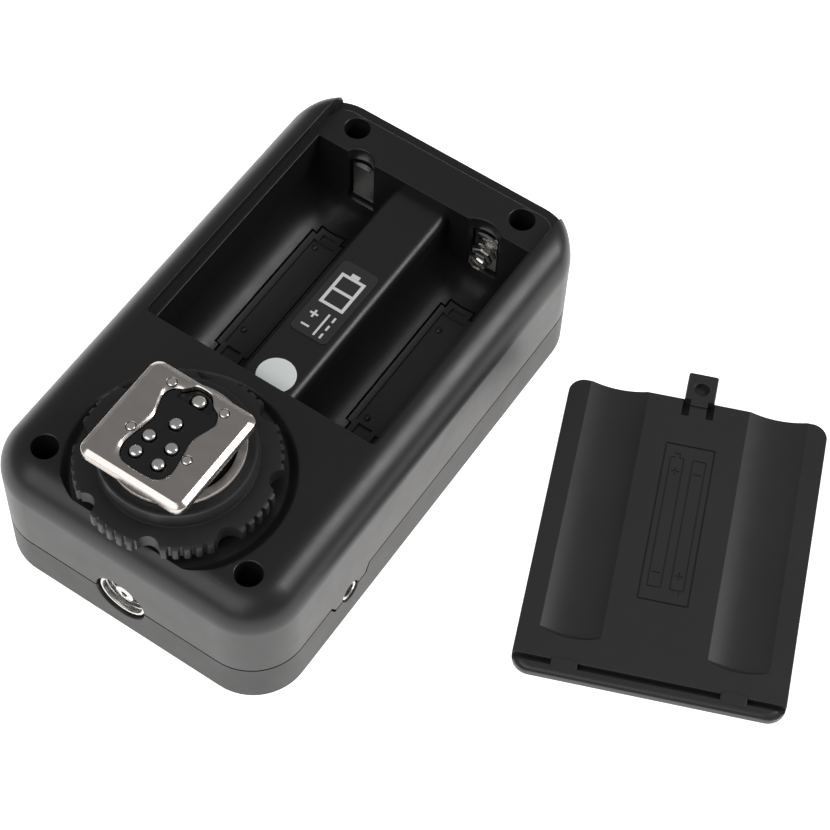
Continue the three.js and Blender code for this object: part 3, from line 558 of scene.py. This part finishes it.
def floor_window(side, gap=0.0):
    """The slot in a trough's floor that its pad fills, or the slot made smaller by a gap."""
    x = side * CELL_X
    half, end_half = WINDOW_HALF - gap, WINDOW_END_HALF - gap
    far_reach = WINDOW_REACH / 2
    return join(
        box(x - half, x + half, WINDOW_NEAR + gap, WINDOW_FAR - gap, *WINDOW_HEIGHTS),
        box(x - end_half, x + end_half, WINDOW_NEAR - WINDOW_REACH + gap, WINDOW_NEAR + 1, *WINDOW_HEIGHTS),
        box(x - end_half, x + end_half, WINDOW_FAR - 1, WINDOW_FAR + far_reach - gap, *WINDOW_HEIGHTS),
    )


def contact_notch(side, chord, depth):
    """The scallop in the land's edge over a far contact, and the slot that holds the contact."""
    r = (chord ** 2 / 4 + depth ** 2) / (2 * depth)
    x = side * FAR_CONTACT_X
    scallop_floor, slot_half, slot_floor, slot_top = 11.5, 2.5, 11.8, 21.3
    return join(
        well(r, scallop_floor, LAND_Z, x, BAY_FAR + depth - r, 0.22, 72),
        box(x - slot_half, x + slot_half, BAY_FAR - 0.5, FAR_CONTACT_Y + 0.8, slot_floor, slot_top),
    )


def bay_opening():
    """The wide shallow part of the bay, with a rounded rim where it meets the rear face."""
    corner_r = 0.9

    def layer(z, growth):
        half = BAY_HALF + growth
        return z, rounded_outline(-half, half, BAY_NEAR - growth, HALF_L + 3, corner_r + growth, corner_r, 6)

    return loft([layer(LAND_Z, 0)] + [layer(z, growth) for z, growth in flare(TOP, 0.25)])


def land_step():
    """The lower step at the far end, with the land's rounded edge left standing."""

    def layer(z, inset):
        return z, rounded_outline(
            -BAY_HALF + inset, BAY_HALF - inset, 0, LAND_END - inset, 1, LAND_CORNER_R - inset, 12
        )

    land = loft([layer(10, 0)] + [layer(z, growth) for z, growth in flare(LAND_Z, 0.3)])
    half = BAY_HALF - 0.1
    step_z = LAND_Z - STEP_DROP
    step = box(-half, half, LAND_END - LAND_CORNER_R, HALF_L + 2, step_z, LAND_Z + 0.05)
    return cut(step, land)


def wheel_recess():
    """The dish round the locking wheel: a flat floor and a side that rolls out into the rear face."""
    steps = 10
    side = []
    for i in range(steps + 1):
        share = i / steps
        roll = share * share * (3 - 2 * share)
        side.append((RECESS_R + (RECESS_RIM - RECESS_R) * share, RECESS_Z + (TOP + 0.02 - RECESS_Z) * roll))
    return turned([(0, RECESS_Z), *side, (RECESS_RIM, TOP + 2), (0, TOP + 2)], "z", 0, FOOT_Y, 192)


def wall_hole(r, axis, u, v, face, inwards, rim=0.2):
    """A cutter for a round hole in a wall, with a rounded rim at the wall's face."""
    sign = 1 if inwards > face else -1
    profile = [(0, inwards), (r, inwards)]
    profile += [(r + growth, face - sign * (z - face)) for z, growth in flare(face, rim)]
    return turned(profile + [(0, profile[-1][1])], axis, u, v, 72)


def far_rim_cutter():
    """Rounds the land's edge along the bay's far wall."""
    section = [
        (BAY_FAR - 0.1, LAND_Z - 0.15), (BAY_FAR + 0.02, LAND_Z - 0.12),
        (BAY_FAR + 0.12, LAND_Z + 0.02), (BAY_FAR - 0.1, LAND_Z + 0.02),
    ]
    reach = CELL_X + CELL_R
    return along_x(section, -reach, reach)


def rear_case_blocks():
    """What stands inside the rear shell: the tub under the bay, its frame, contact pockets and bosses."""
    floor_z = PARTING_Z + PARTING_GAP / 2
    under_roof = TOP - WALL + 0.2
    tub_half, frame_half, rail_in = 21.9, 22.6, 20.4
    pocket_in, pocket_out, pocket_far, pocket_floor = 7.6, 16.4, 39.6, 10
    boss_r, boss_floor = 3.3, 9.3
    blocks = [
        box(-tub_half, tub_half, TUB_NEAR, BAY_FAR + 1.2, floor_z, under_roof),
        box(-frame_half, frame_half, BAY_FAR, HALF_L - 1, LAND_Z - 1.6, under_roof),
        box(-frame_half, -rail_in, BAY_NEAR, HALF_L - 3, LAND_Z - 2, under_roof),
        box(rail_in, frame_half, BAY_NEAR, HALF_L - 3, LAND_Z - 2, under_roof),
        box(-pocket_out, -pocket_in, BAY_FAR, pocket_far, pocket_floor, LAND_Z - 0.5),
        box(pocket_in, pocket_out, BAY_FAR, pocket_far, pocket_floor, LAND_Z - 0.5),
    ]
    return blocks + [rod("z", boss_r, boss_floor, under_roof, x, y) for x, y in SCREWS]


def pc_hole():
    """A cutter for the hole that the PC socket stands in, through both shells."""
    return wall_hole(PC_HOLE, "y", PC_X, PC_Z, -HALF_L, -HALF_L + 4)


def jack_hole():
    """A cutter for the jack's hole."""
    return wall_hole(JACK_HOLE_R, "x", JACK_Y, JACK_Z, HALF_W, 20)


def make_rear_case():
    floor_z = PARTING_Z + PARTING_GAP / 2
    roof_z = TOP - WALL
    reach = CELL_X + CELL_R
    above_parting = box(-40, 40, -60, 60, floor_z, 40)
    shell = common(body_skin(0), join(above_parting, jack_tongue(-PARTING_GAP / 2)))
    shell = cut(shell, body_skin(WALL, 12, 10))
    shell = common(join(shell, *rear_case_blocks()), body_skin(0))
    shell = cut(
        shell,
        bay_opening(),
        along_y(cell_section(TOP + 1, LAND_Z), BAY_NEAR, BAY_FAR),
        along_y(cell_section(roof_z), CELL_NEAR + 1, BAY_NEAR + 1),
        box(-reach, reach, CELL_NEAR, CELL_NEAR + 1.5, 10.4, roof_z),
        floor_window(-1),
        floor_window(1),
        far_rim_cutter(),
        land_step(),
    )
    shell = cut(shell, *[contact_notch(*notch) for notch in FAR_NOTCHES])
    shell = cut(shell, *[well(2.1, 11, LAND_Z if y > 0 else TOP, x, y) for x, y in SCREWS])
    shell = cut(shell, *[rod("z", 1.15, 8, 12, x, y, 32) for x, y in SCREWS])
    shell = cut(
        shell,
        wheel_recess(),
        rod("z", STEM_R + 0.15, 22, TOP + 1, 0, FOOT_Y, 96),
        pc_hole(),
        jack_hole(),
    )
    clean(shell)
    finish_piece(shell, "rear_shell", ["rear_case"], "case", CASE, 30)


def make_front_case():
    wall, web = 1.3, 0.6
    x1, y0, y1, top = SHOE_POCKET
    near, far = POWER_Y - 2.6, POWER_Y + 5.6
    slot_out, slot_in = -HALF_W - 1, -HALF_W + 0.9
    boss_r, post_r, screw_r = 2.8, 1.6, 0.95
    under = box(-40, 40, -60, 60, -1, PARTING_Z - PARTING_GAP / 2)
    shell = cut(common(body_skin(0), under), jack_tongue(PARTING_GAP / 2))
    shell = cut(shell, body_skin(WALL, 12, 10))
    shell = join(
        shell,
        box(-x1 - wall, x1 + wall, y0 - wall, y1 + wall, web, top + wall),
        *[rod("z", boss_r, 1, PARTING_Z - 0.3, x, y) for x, y in SCREWS],
        *[rod("z", post_r, 1, 6.3, x, y, 32) for x in (-20.5, 20.5) for y in (-12, 31)],
    )
    shell = cut(
        shell,
        under_opening(-x1, x1, y0, y1, top, 0.6, 0.35),
        pc_hole(),
        jack_hole(),
        under_opening(-4.9, 4.9, 22.6, 25.4, 3, 1.39, 0.25),
        box(slot_out, slot_in, near - 0.5, far + 0.5, POWER_Z - 1.8, POWER_Z + 1.8),
        box(-HALF_W, -HALF_W + 3, near + 1.4, far - 1.4, POWER_Z - 0.8, POWER_Z + 0.8),
    )
    shell = cut(shell, *[rod("z", screw_r, 3.2, 10, x, y, 32) for x, y in SCREWS])
    shell = cut(shell, *[wall_hole(3.2, "z", x, 15, 0, 3, 0.25) for x in (-7, 7)])
    clean(shell)
    finish_piece(shell, "front_shell", ["front_case"], "case", FRONT, 30)


def under_opening(x0, x1, y0, y1, top, r, rim):
    """A rounded rectangular cutter from below, with a rounded rim at the front face."""
    layers = [(-z, growth) for z, growth in reversed(flare(0, rim))] + [(top, 0)]
    return loft([(z, rounded_outline(x0 - g, x1 + g, y0 - g, y1 + g, r + g, r + g, 8)) for z, g in layers])


# ------------------------------------------------------------------ hot-shoe foot


def keyhole(inset, steps=6):
    """The plate's cut-out: a lobe at the foot end, a waist, shoulders and a notch for the pin."""
    half = [(2.6, -7.3), (4.2, -5.7), (4.2, -3.4), (3.7, -0.8), (3.5, 1.2), (4.1, 3.2), (4.6, 5.1), (4, 6.6),
            (2.7, 7.4), (2, 8.2), (1.1, 8.9)]
    right = [(x - inset, y - inset if y > 0 else y + inset) for x, y in half]
    corners = [Vector((x, y + PLATE_Y)) for x, y in right + [(-x, y) for x, y in reversed(right)]]
    points = []
    count = len(corners)
    for i in range(count):
        a, b, c, d = (corners[(i + k) % count] for k in (-1, 0, 1, 2))
        slope = c - a
        bend = 2 * a - 5 * b + 4 * c - d
        twist = 3 * b - a - 3 * c + d
        for s in range(steps):
            t = s / steps
            p = 0.5 * (2 * b + slope * t + bend * t * t + twist * t ** 3)
            points.append((p.x, p.y))
    return points


def make_foot_plate():
    side, end = PLATE_W / 2, PLATE_L / 2
    rivet_hole_r = 0.8

    def layer(z, inset):
        r = PLATE_CORNER - inset
        return z, rounded_outline(
            -side + inset, side - inset, PLATE_Y - end + inset, PLATE_Y + end - inset, r, r, 12
        )

    plate = loft([
        layer(PLATE_BOTTOM, 0.25), layer(PLATE_BOTTOM + 0.08, 0.08), layer(PLATE_BOTTOM + 0.25, 0),
        layer(PLATE_TOP - 0.62, 0), layer(PLATE_TOP - 0.52, 0.03), layer(PLATE_TOP - 0.45, 0.1),
        layer(PLATE_TOP - 0.06, 0.83), layer(PLATE_TOP - 0.02, 0.92), layer(PLATE_TOP, 1.03),
    ])
    throat = [(-PLATE_T - 1, 0), (-0.36, 0), (-0.3, 0.04), (-0.05, 0.5), (-0.01, 0.62), (0.1, 1.2)]
    plate = cut(plate, loft([(PLATE_TOP + z, keyhole(-growth)) for z, growth in throat]))
    plate = cut(plate, *[
        well(rivet_hole_r, PLATE_BOTTOM - 1, PLATE_TOP, x, y + PLATE_Y, 0.08, 40) for x, y in RIVETS
    ])
    finish_piece(plate, "shoe_plate", ["foot_plate"], "case", PLATE, 32)


def make_foot_core():
    """The plastic stem: a flange under the case's roof, a round stem, a flat neck and the contact block."""
    roof_z = TOP - WALL
    core_top, pin_slot_floor = PLATE_TOP - 0.5, PLATE_TOP - 1.4
    flange = cut(
        rod("z", FLANGE_R, 21.8, roof_z - 0.1, 0, FOOT_Y, 96),
        box(-20, 20, -50, FOOT_Y - 9.3, 20, 26),
        box(-20, 20, FOOT_Y + 10.6, 0, 20, 26),
    )
    block = join(
        flange,
        rod("z", STEM_R, roof_z - 0.2, RING_Z1 - 0.15, 0, FOOT_Y, 96),
        common(rod("z", STEM_R, RING_Z1 - 0.25, PLATE_BOTTOM - 0.08, 0, FOOT_Y, 96),
               box(-NECK_W / 2, NECK_W / 2, -50, -10, 30, 40)),
        prism(keyhole(0.12), PLATE_BOTTOM - 0.5, core_top),
    )
    block = cut(block, box(-3, 3, LOCK_PIN_Y - 1.5, LOCK_PIN_Y + 3, pin_slot_floor, PLATE_TOP + 1))
    block = cut(block, *[well(1.1, 31.5, core_top, x, y + PLATE_Y, 0.1, 40) for x, y in CONTACTS])
    block = cut(block, *[rod("z", 0.8, 34.5, PLATE_TOP + 1, x, y + PLATE_Y, 40) for x, y in RIVETS])
    block = cut(block, well(1.4, 20, pin_slot_floor, 0, LOCK_PIN_Y, 0.12, 40))
    finish_piece(block, "foot_core", ["foot_block"], "case", CORE, 32)


def dome(r, base, spring, tip, steps=8):
    """A round pin's profile that closes in a dome above the height `spring`."""
    rise = tip - spring
    arc = [(r * math.cos(math.pi / 2 * i / steps), spring + rise * math.sin(math.pi / 2 * i / steps))
           for i in range(steps)]
    return [(0, base), (r - 0.1, base), (r, base + 0.1), *arc, (0, tip)]


def make_foot_pins():
    contact_r, contact_base, contact_rise = 0.95, 32.8, 0.3
    for i, (x, y) in enumerate(CONTACTS, 1):
        profile = dome(contact_r, contact_base, PLATE_TOP - 0.12, PLATE_TOP + contact_rise)
        pin = turned(profile, "z", x, y + PLATE_Y, 48)
        finish_piece(pin, f"contact_tip_{i}", [f"contact_pin_{i}"], f"contact_{i}", CHROME)
    rivet_r, rivet_base, rivet_rise = 0.7, 35.2, 0.18
    for i, (x, y) in enumerate(RIVETS, 1):
        profile = dome(rivet_r, rivet_base, PLATE_TOP - 0.05, PLATE_TOP + rivet_rise)
        rivet = turned(profile, "z", x, y + PLATE_Y, 40)
        finish_piece(rivet, f"rivet_{i}", [f"plate_rivet_{i}"], "case", CHROME)
    r, base, tip = 1.2, 24.5, PLATE_TOP - 0.9
    profile = [
        (0, base), (r - 0.1, base), (r, base + 0.1), (r, tip - 0.5), (r - 0.1, tip - 0.25), (0.75, tip),
        (0, tip),
    ]
    pin = turned(profile, "z", 0, LOCK_PIN_Y, 48)
    finish_piece(pin, "lock_pin_bar", ["locking_pin"], "lock_pin", CHROME)


def tube(axis, outer, inner, a, b, u, v, segments=96):
    return cut(rod(axis, outer, a, b, u, v, segments), rod(axis, inner, a - 1, b + 1, u, v, segments))


def make_pressure_ring():
    soft = 0.14
    profile = [
        (RUN_R, RING_Z0), (RING_R - soft, RING_Z0), (RING_R, RING_Z0 + soft), (RING_R, RING_Z1 - soft),
        (RING_R - 0.04, RING_Z1 - 0.04), (RING_R - soft, RING_Z1), (RUN_R + soft, RING_Z1),
        (RUN_R, RING_Z1 - soft),
    ]
    ring = lathe_ring(profile, "z", 0, FOOT_Y, 128)
    finish_piece(ring, "wheel_ring", ["pressure_ring"], "ring", RING)


def wheel_outline():
    """Groups of fine teeth, with a scallop for the finger between groups."""
    sector = 360 / NOTCHES
    pitch = (sector - 2 * NOTCH_HALF) / TEETH
    # Each point of a tooth: its place as a share of the pitch, its depth as a share of TOOTH_DEPTH.
    tooth_shape = [
        (0.10, 0.3), (0.16, 0.06), (0.36, 0.0), (0.58, 0.06), (0.66, 0.3), (0.74, 1.0), (0.98, 1.0),
    ]
    points = []

    def at(degrees, r):
        angle = math.radians(degrees)
        points.append((r * math.cos(angle), FOOT_Y + r * math.sin(angle)))

    for n in range(NOTCHES):
        start = FIRST_NOTCH + n * sector
        for i in range(15):
            share = i / 7 - 1
            at(start + share * NOTCH_HALF, WHEEL_R - NOTCH_DEPTH * math.sqrt(1 - share * share * 0.9))
        for tooth in range(TEETH):
            first = start + NOTCH_HALF + tooth * pitch
            for place, depth in tooth_shape[:-1] if tooth == TEETH - 1 else tooth_shape:
                at(first + pitch * place, WHEEL_R - TOOTH_DEPTH * depth)
    return points


def make_wheel():
    """The wheel's top falls a little towards its rim, and the boss stands on it."""
    rim = prism(wheel_outline(), WHEEL_RIM_Z, WHEEL_Z1)
    hub = rod("z", HUB_R, WHEEL_Z0, WHEEL_RIM_Z + 0.5, 0, FOOT_Y, 128)
    edge_z = WHEEL_Z1 - WHEEL_FALL
    beyond, below = WHEEL_R + 1, WHEEL_Z0 - 1
    envelope = turned([
        (0, below), (beyond, below), (beyond, WHEEL_Z1 - 1.6), (WHEEL_R, edge_z - 0.5),
        (WHEEL_R - 0.12, edge_z - 0.22), (WHEEL_R - 0.4, edge_z - 0.05), (WHEEL_R - 0.8, edge_z + 0.04),
        (BOSS_R + 0.35, WHEEL_Z1), (0, WHEEL_Z1),
    ], "z", 0, FOOT_Y, 192)
    foot_r, boss_top = BOSS_R + 0.3, RING_Z0 - 0.1
    boss = turned([
        (0, WHEEL_Z1 - 1), (foot_r, WHEEL_Z1 - 1), (foot_r, WHEEL_Z1 - 0.05),
        (BOSS_R + 0.09, WHEEL_Z1 + 0.06), (BOSS_R, WHEEL_Z1 + 0.3), (BOSS_R, RING_Z0 - 0.7),
        (BOSS_R - 0.15, RING_Z0 - 0.3), (BOSS_R - 0.6, boss_top), (0, boss_top),
    ], "z", 0, FOOT_Y, 128)
    wheel = cut(join(common(rim, envelope), hub, boss), rod("z", RUN_R, 20, 40, 0, FOOT_Y, 96))
    clean(wheel)
    finish_piece(wheel, "knurled_wheel", ["locking_wheel"], "wheel", WHEEL, 28)


# ------------------------------------------------------------------ battery bay


def make_trough_pads():
    """Each pad fills the slot in its trough: its rim is level with the trough, its middle a little lower."""
    flange_half, flange_heights = 4.6, (8.05, 8.65)
    pip = [(0, 8.5), (0.55, 8.5), (0.54, 9.2), (0.46, 9.45), (0.25, 9.6), (0, 9.65)]
    for side, name in ((-1, "left"), (1, "right")):
        x = side * CELL_X
        flange = box(x - flange_half, x + flange_half, WINDOW_NEAR - 4.5, WINDOW_FAR + 2.8, *flange_heights)
        filling = common(floor_window(side, 0.3), box(-30, 30, -10, 40, 8.1, 12))
        hollow = common(rod("y", CELL_R + 0.6, -20, 50, x, CELL_Z, 160), floor_window(side, 1.2))
        pad = cut(join(flange, filling), rod("y", CELL_R + 0.1, -20, 50, x, CELL_Z, 160), hollow)
        pip_x, pips = (x - 1.2, (5.4, 25.3)) if side < 0 else (x - 0.9, (3, 23.4))
        pad = join(pad, *[turned(pip, "z", pip_x, y, 32) for y in pips])
        finish_piece(pad, f"trough_pad_{name}", [f"cell_pad_{name}"], "case", PAD, 30)


def merge(*pieces):
    """Puts separate solids into one mesh."""
    bm = bmesh.new()
    for piece in pieces:
        bm.from_mesh(piece.data)
    for piece in pieces[1:]:
        bpy.data.objects.remove(piece)
    bm.to_mesh(pieces[0].data)
    bm.free()
    return pieces[0]


def make_spine_label():
    """The film label on the ridge and its generic white print."""
    top = SPINE_Z + 0.18

    def layer(z, inset):
        return z, rounded_outline(-3.4 + inset, 3.4 - inset, 3.3 + inset, 18.8 - inset, 0.9 - inset)

    film = loft([layer(SPINE_Z + 0.03, 0), layer(top - 0.05, 0), layer(top - 0.015, 0.015), layer(top, 0.05)])
    finish_piece(film, "ridge_label", ["spine_label"], "case", FILM)

    def bar(x, y, width, length):
        return box(x - width / 2, x + width / 2, y - length / 2, y + length / 2, top - 0.01, top + 0.012)

    line, heavy = 0.36, 0.55
    dash_x, dash_y, sign_x, minus_y, plus_y, cell_y = 0.75, 6.3, -1.4, 4.9, 7.4, 13.1
    direct_current = [bar(dash_x, dash_y, line, 4.6)]
    direct_current += [bar(1.9, dash_y + step, line, 1.05) for step in (-1.75, 0, 1.75)]
    signs = [bar(sign_x, minus_y, 1.5, line), bar(sign_x, plus_y, line, 1.5)]
    signs += [bar(sign_x + step, plus_y, 0.56, line) for step in (-0.465, 0.465)]
    cell = [bar(side * 2.0, cell_y, heavy, 6.6) for side in (-1, 1)]
    cell += [bar(0, cell_y + step, 3.43, heavy) for step in (-3.02, 0, 3.02)]
    cell += [bar(0, cell_y + 3.68, 1.5, 0.7)]
    marks = merge(*direct_current, *signs, *cell)
    finish_piece(marks, "label_print", [], "case", PRINT)


def make_seal():
    """A round paper seal with a soft rim, on the ridge just inside the bay's near wall."""
    r, low, thickness = 3.2, SPINE_Z + 0.03, 0.13
    top = low + thickness
    profile = [(0, low), (r, low), (r, low + 0.08), (r - 0.04, top - 0.01), (r - 0.12, top), (0, top)]
    seal = turned(profile, "z", 0.4, -5.3, 96)
    finish_piece(seal, "round_seal", ["seal_sticker"], "case", PAPER)


# ------------------------------------------------------------------ sockets


def make_pc_socket():
    face = -HALF_L + PC_FACE
    back = -HALF_L + PC_INNER
    flange_near, flange_far = -42.7, -41.7
    thread_pitch, thread_depth = 0.7, 0.2
    grooves = []
    for turn in range(3):
        y = face + 0.75 + turn * thread_pitch
        floor_r = PC_BORE + thread_depth
        grooves += [(PC_BORE, y - 0.06), (floor_r, y + 0.1), (floor_r, y + 0.2), (PC_BORE, y + 0.36)]
    profile = [
        (PC_BORE + 0.12, face), (PC_R - 0.12, face), (PC_R - 0.03, face + 0.04), (PC_R, face + 0.14),
        (PC_R, flange_near), (PC_FLANGE_R, flange_near), (PC_FLANGE_R, flange_far), (PC_R, flange_far),
        (PC_R, back), (PC_BORE, back), *reversed(grooves), (PC_BORE, face + 0.16),
        (PC_BORE + 0.03, face + 0.05),
    ]
    ring = lathe_ring(profile, "y", PC_X, PC_Z)
    finish_piece(ring, "pc_ring", ["pc_socket_ring"], "case", CHROME)
    insulator = tube("y", PC_BORE - 0.15, PC_HUB_R + 0.15, -42, back - 0.2, PC_X, PC_Z)
    finish_piece(insulator, "pc_insulator", ["pc_socket_insulator"], "case", CORE)
    hub_hole_r, tip, hub_end = 0.6, -HALF_L + PC_HUB_FACE, -37.6
    hub = [
        (hub_hole_r, tip + 0.1), (hub_hole_r + 0.1, tip), (PC_HUB_R - 0.25, tip),
        (PC_HUB_R - 0.06, tip + 0.08), (PC_HUB_R, tip + 0.3), (PC_HUB_R, hub_end), (hub_hole_r, hub_end),
    ]
    pin = join(lathe_ring(hub, "y", PC_X, PC_Z, 64), rod("y", 1.0, -41, hub_end - 0.1, PC_X, PC_Z, 48))
    finish_piece(pin, "pc_pin", ["pc_socket_pin"], "case", CHROME)


def make_jack():
    mouth, back, bore, outer = HALF_W - 0.25, 24.7, 1.25, 1.75
    profile = [
        (bore, back), (outer, back), (outer, mouth - 0.1), (outer - 0.1, mouth), (bore + 0.15, mouth),
        (bore, mouth - 0.15),
    ]
    sleeve = lathe_ring(profile, "x", JACK_Y, JACK_Z, 64)
    finish_piece(sleeve, "jack_ring", ["jack_sleeve"], "case", CHROME)


# ------------------------------------------------------------------ battery cover


def cover_layer(z, inset, lift=0):
    """The cover's outline at one height, drawn in by an inset and, at the near edge, by a lift as well."""
    half = COVER_W / 2 - inset
    return z, rounded_outline(
        -half, half, COVER_NEAR + inset + lift, COVER_FAR - inset, COVER_NEAR_R, COVER_FAR_R, 12
    )


def cover_plate():
    """The plate, and the round bead along its near edge that stands above it."""
    plate = loft([
        cover_layer(0, 0.3, 1.2), cover_layer(0.08, 0.12, 0.85), cover_layer(0.25, 0, 0.6),
        cover_layer(0.8, 0, 0.15), cover_layer(1.3, 0), cover_layer(COVER_T - 0.16, 0),
        cover_layer(COVER_T - 0.05, 0.05), cover_layer(COVER_T, 0.16),
    ])
    bead_z, bead_reach = 1.2, 0.95
    arc = [math.pi / 2 * i / 10 for i in range(11)]
    bead = loft([cover_layer(bead_z - 0.1, 0)] + [
        cover_layer(bead_z + (LIP_TOP - bead_z) * math.sin(a), bead_reach * (1 - math.cos(a))) for a in arc
    ])
    half = COVER_W / 2 + 1
    return join(plate, common(bead, box(-half, half, COVER_NEAR - 1, GROOVE_NEAR, 1, 4)))


def cover_trough(x):
    """A cutter for the shallow trough over a cell."""
    centre_z = COVER_T - COVER_TROUGH_DEPTH + COVER_TROUGH_R
    r, near, beyond = COVER_TROUGH_R, COVER_TROUGH_NEAR, COVER_FAR + 5
    end_z = near - 0.1
    profile = [
        (0, end_z), (r - COVER_TROUGH_DEPTH - 0.1, end_z), (r - 0.15, near + 0.85), (r - 0.04, near + 1.0),
        (r, near + 1.3), (r, beyond), (0, beyond),
    ]
    return turned(profile, "y", x, centre_z, 400)


def cover_groove():
    """A cutter for the groove along the near edge, with rounded rims."""
    half = COVER_W / 2 + 2
    layers = [(GROOVE_Z, 0)] + flare(COVER_T, 0.15)
    return loft([
        (z, rounded_outline(-half, half, GROOVE_NEAR - g, GROOVE_FAR + g, 0.1, 0.1, 2)) for z, g in layers
    ])


def cover_hook(x):
    """A hook that stands astride the groove."""

    def layer(z, inset):
        half = HOOK_HALF - inset
        return z, rounded_outline(
            x - half, x + half, GROOVE_NEAR - 0.5 + inset, GROOVE_FAR + 0.3 - inset, 0.5, 0.5, 6
        )

    top = HOOK_Z1
    return loft([layer(HOOK_Z0, 0), layer(top - 0.25, 0), layer(top - 0.06, 0.08), layer(top, 0.28)])


def sunk_line(x0, x1, y0, y1, depth=0.25, line=0.3, r=0.3):
    """A cutter for a sunk line round a rounded rectangle."""
    return cut(
        rounded_box(x0, x1, y0, y1, COVER_T - depth, COVER_T + 1, r, 4),
        rounded_box(
            x0 + line, x1 - line, y0 + line, y1 - line, COVER_T - 1, COVER_T + 2, max(r - line, 0.15), 4
        ),
    )


def sunk_bar(x, y, half_x, half_y, depth=0.16):
    return box(x - half_x, x + half_x, y - half_y, y + half_y, COVER_T - depth, COVER_T + 1)


def cover_marks():
    """Cutters for a frame and, in it, two cell outlines with polarity signs, one cell each way round."""
    marks = [sunk_line(-4.2, 4.0, -11.2, 18.0)]
    y0, cell_w, cell_near, cell_far, nub = -9.6, 2.4, 0.9, 25.1, 0.8
    near_sign, far_sign, sign_long, sign_thin = 3.6, 22.4, 0.65, 0.13
    for x0, points_far in ((-3.1, True), (0.5, False)):
        marks.append(sunk_line(x0, x0 + cell_w, y0 + cell_near, y0 + cell_far, 0.16, 0.26, 0.4))
        nub_y = y0 + cell_far if points_far else y0 + 0.1
        floor_z = COVER_T - 0.16
        marks.append(rounded_box(x0 + 0.7, x0 + 1.7, nub_y, nub_y + nub, floor_z, COVER_T + 1, 0.12, 3))
        plus_y, minus_y = (far_sign, near_sign) if points_far else (near_sign, far_sign)
        middle = x0 + cell_w / 2
        marks.append(sunk_bar(middle, y0 + plus_y, sign_long, sign_thin))
        marks.append(sunk_bar(middle, y0 + plus_y, sign_thin, sign_long, 0.17))
        marks.append(sunk_bar(middle, y0 + minus_y, sign_long, sign_thin))
    return marks


def cover_tab():
    """The latch tab at the far edge, with a blind hole in it."""
    top, soft, far = 2.8, 0.12, COVER_FAR

    def layer(z, inset, far_r):
        half = TAB_HALF - inset
        return z, rounded_outline(-half, half, far - 1.2 + inset, far + 5 - inset, 0.2, far_r, 5)

    return cut(
        loft([layer(1.2, 0, 0.35), layer(top - 0.15, 0, 0.35), layer(top, soft, 0.3)]),
        well(1.25, 1.7, top, 0, far + 2, 0.12),
    )


def make_cover():
    """The cover lies inside up. It is built about its own middle and then set down beside the trigger."""
    sides = (-COVER_TROUGH_X, COVER_TROUGH_X)
    cover = cut(cover_plate(), *[cover_trough(x) for x in sides])
    cover = cut(cover, cover_groove())
    cover = join(cover, *[cover_hook(x) for x in sides])
    cover = cut(cover, *cover_marks())
    cover = join(cover, cover_tab())
    cover = cut(cover, *[box(x - 0.6, x + 0.6, COVER_FAR - 3.2, COVER_FAR - 0.2, 0.7, 5) for x in (-2, 2)])
    clean(cover)
    turn = Matrix.Rotation(math.radians(COVER_TURN), 4, "Z")
    cover.data.transform(Matrix.Translation((COVER_X, COVER_Y, 0)) @ turn)
    finish_piece(cover, "cover_shell", ["battery_cover"], "cover", COVER, 30)


# ------------------------------------------------------------------ CAD nodes that stay


def dress(material, *nodes):
    for name in nodes:
        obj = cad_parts[name]
        obj.data.materials.clear()
        obj.data.materials.append(material)


def dress_cad_nodes():
    for side in ("left", "right"):
        dress(CHROME, f"far_contact_{side}")
    dress(CHROME, "near_bridge")
    dress(SPRING, "near_spring", "far_spring")
    dress(SCREW, *[f"case_screw_{i}" for i in range(1, 5)])
    dress(CORE, "jack_body", "shoe_contact_block")
    dress(SHOE, "shoe_frame")
    dress(BRASS, "antenna", *[f"shoe_contact_{i}" for i in range(1, 6)])
    dress(CONTROLS, "channel_button", "group_button", "power_knob")
    dress(CHIP, "channel_switch", "group_switch", "control_chip")
    dress(LENS, "status_lens")
    dress(CAN, "power_switch", "rf_shield", "crystal")
    dress(LAMINATE, "main_board", "rf_board")
    dress(SLEEVE, "capacitor")


make_rear_case()
make_front_case()
make_foot_plate()
make_foot_core()
make_foot_pins()
make_pressure_ring()
make_wheel()
make_trough_pads()
make_spine_label()
make_seal()
make_pc_socket()
make_jack()
make_cover()
dress_cad_nodes()
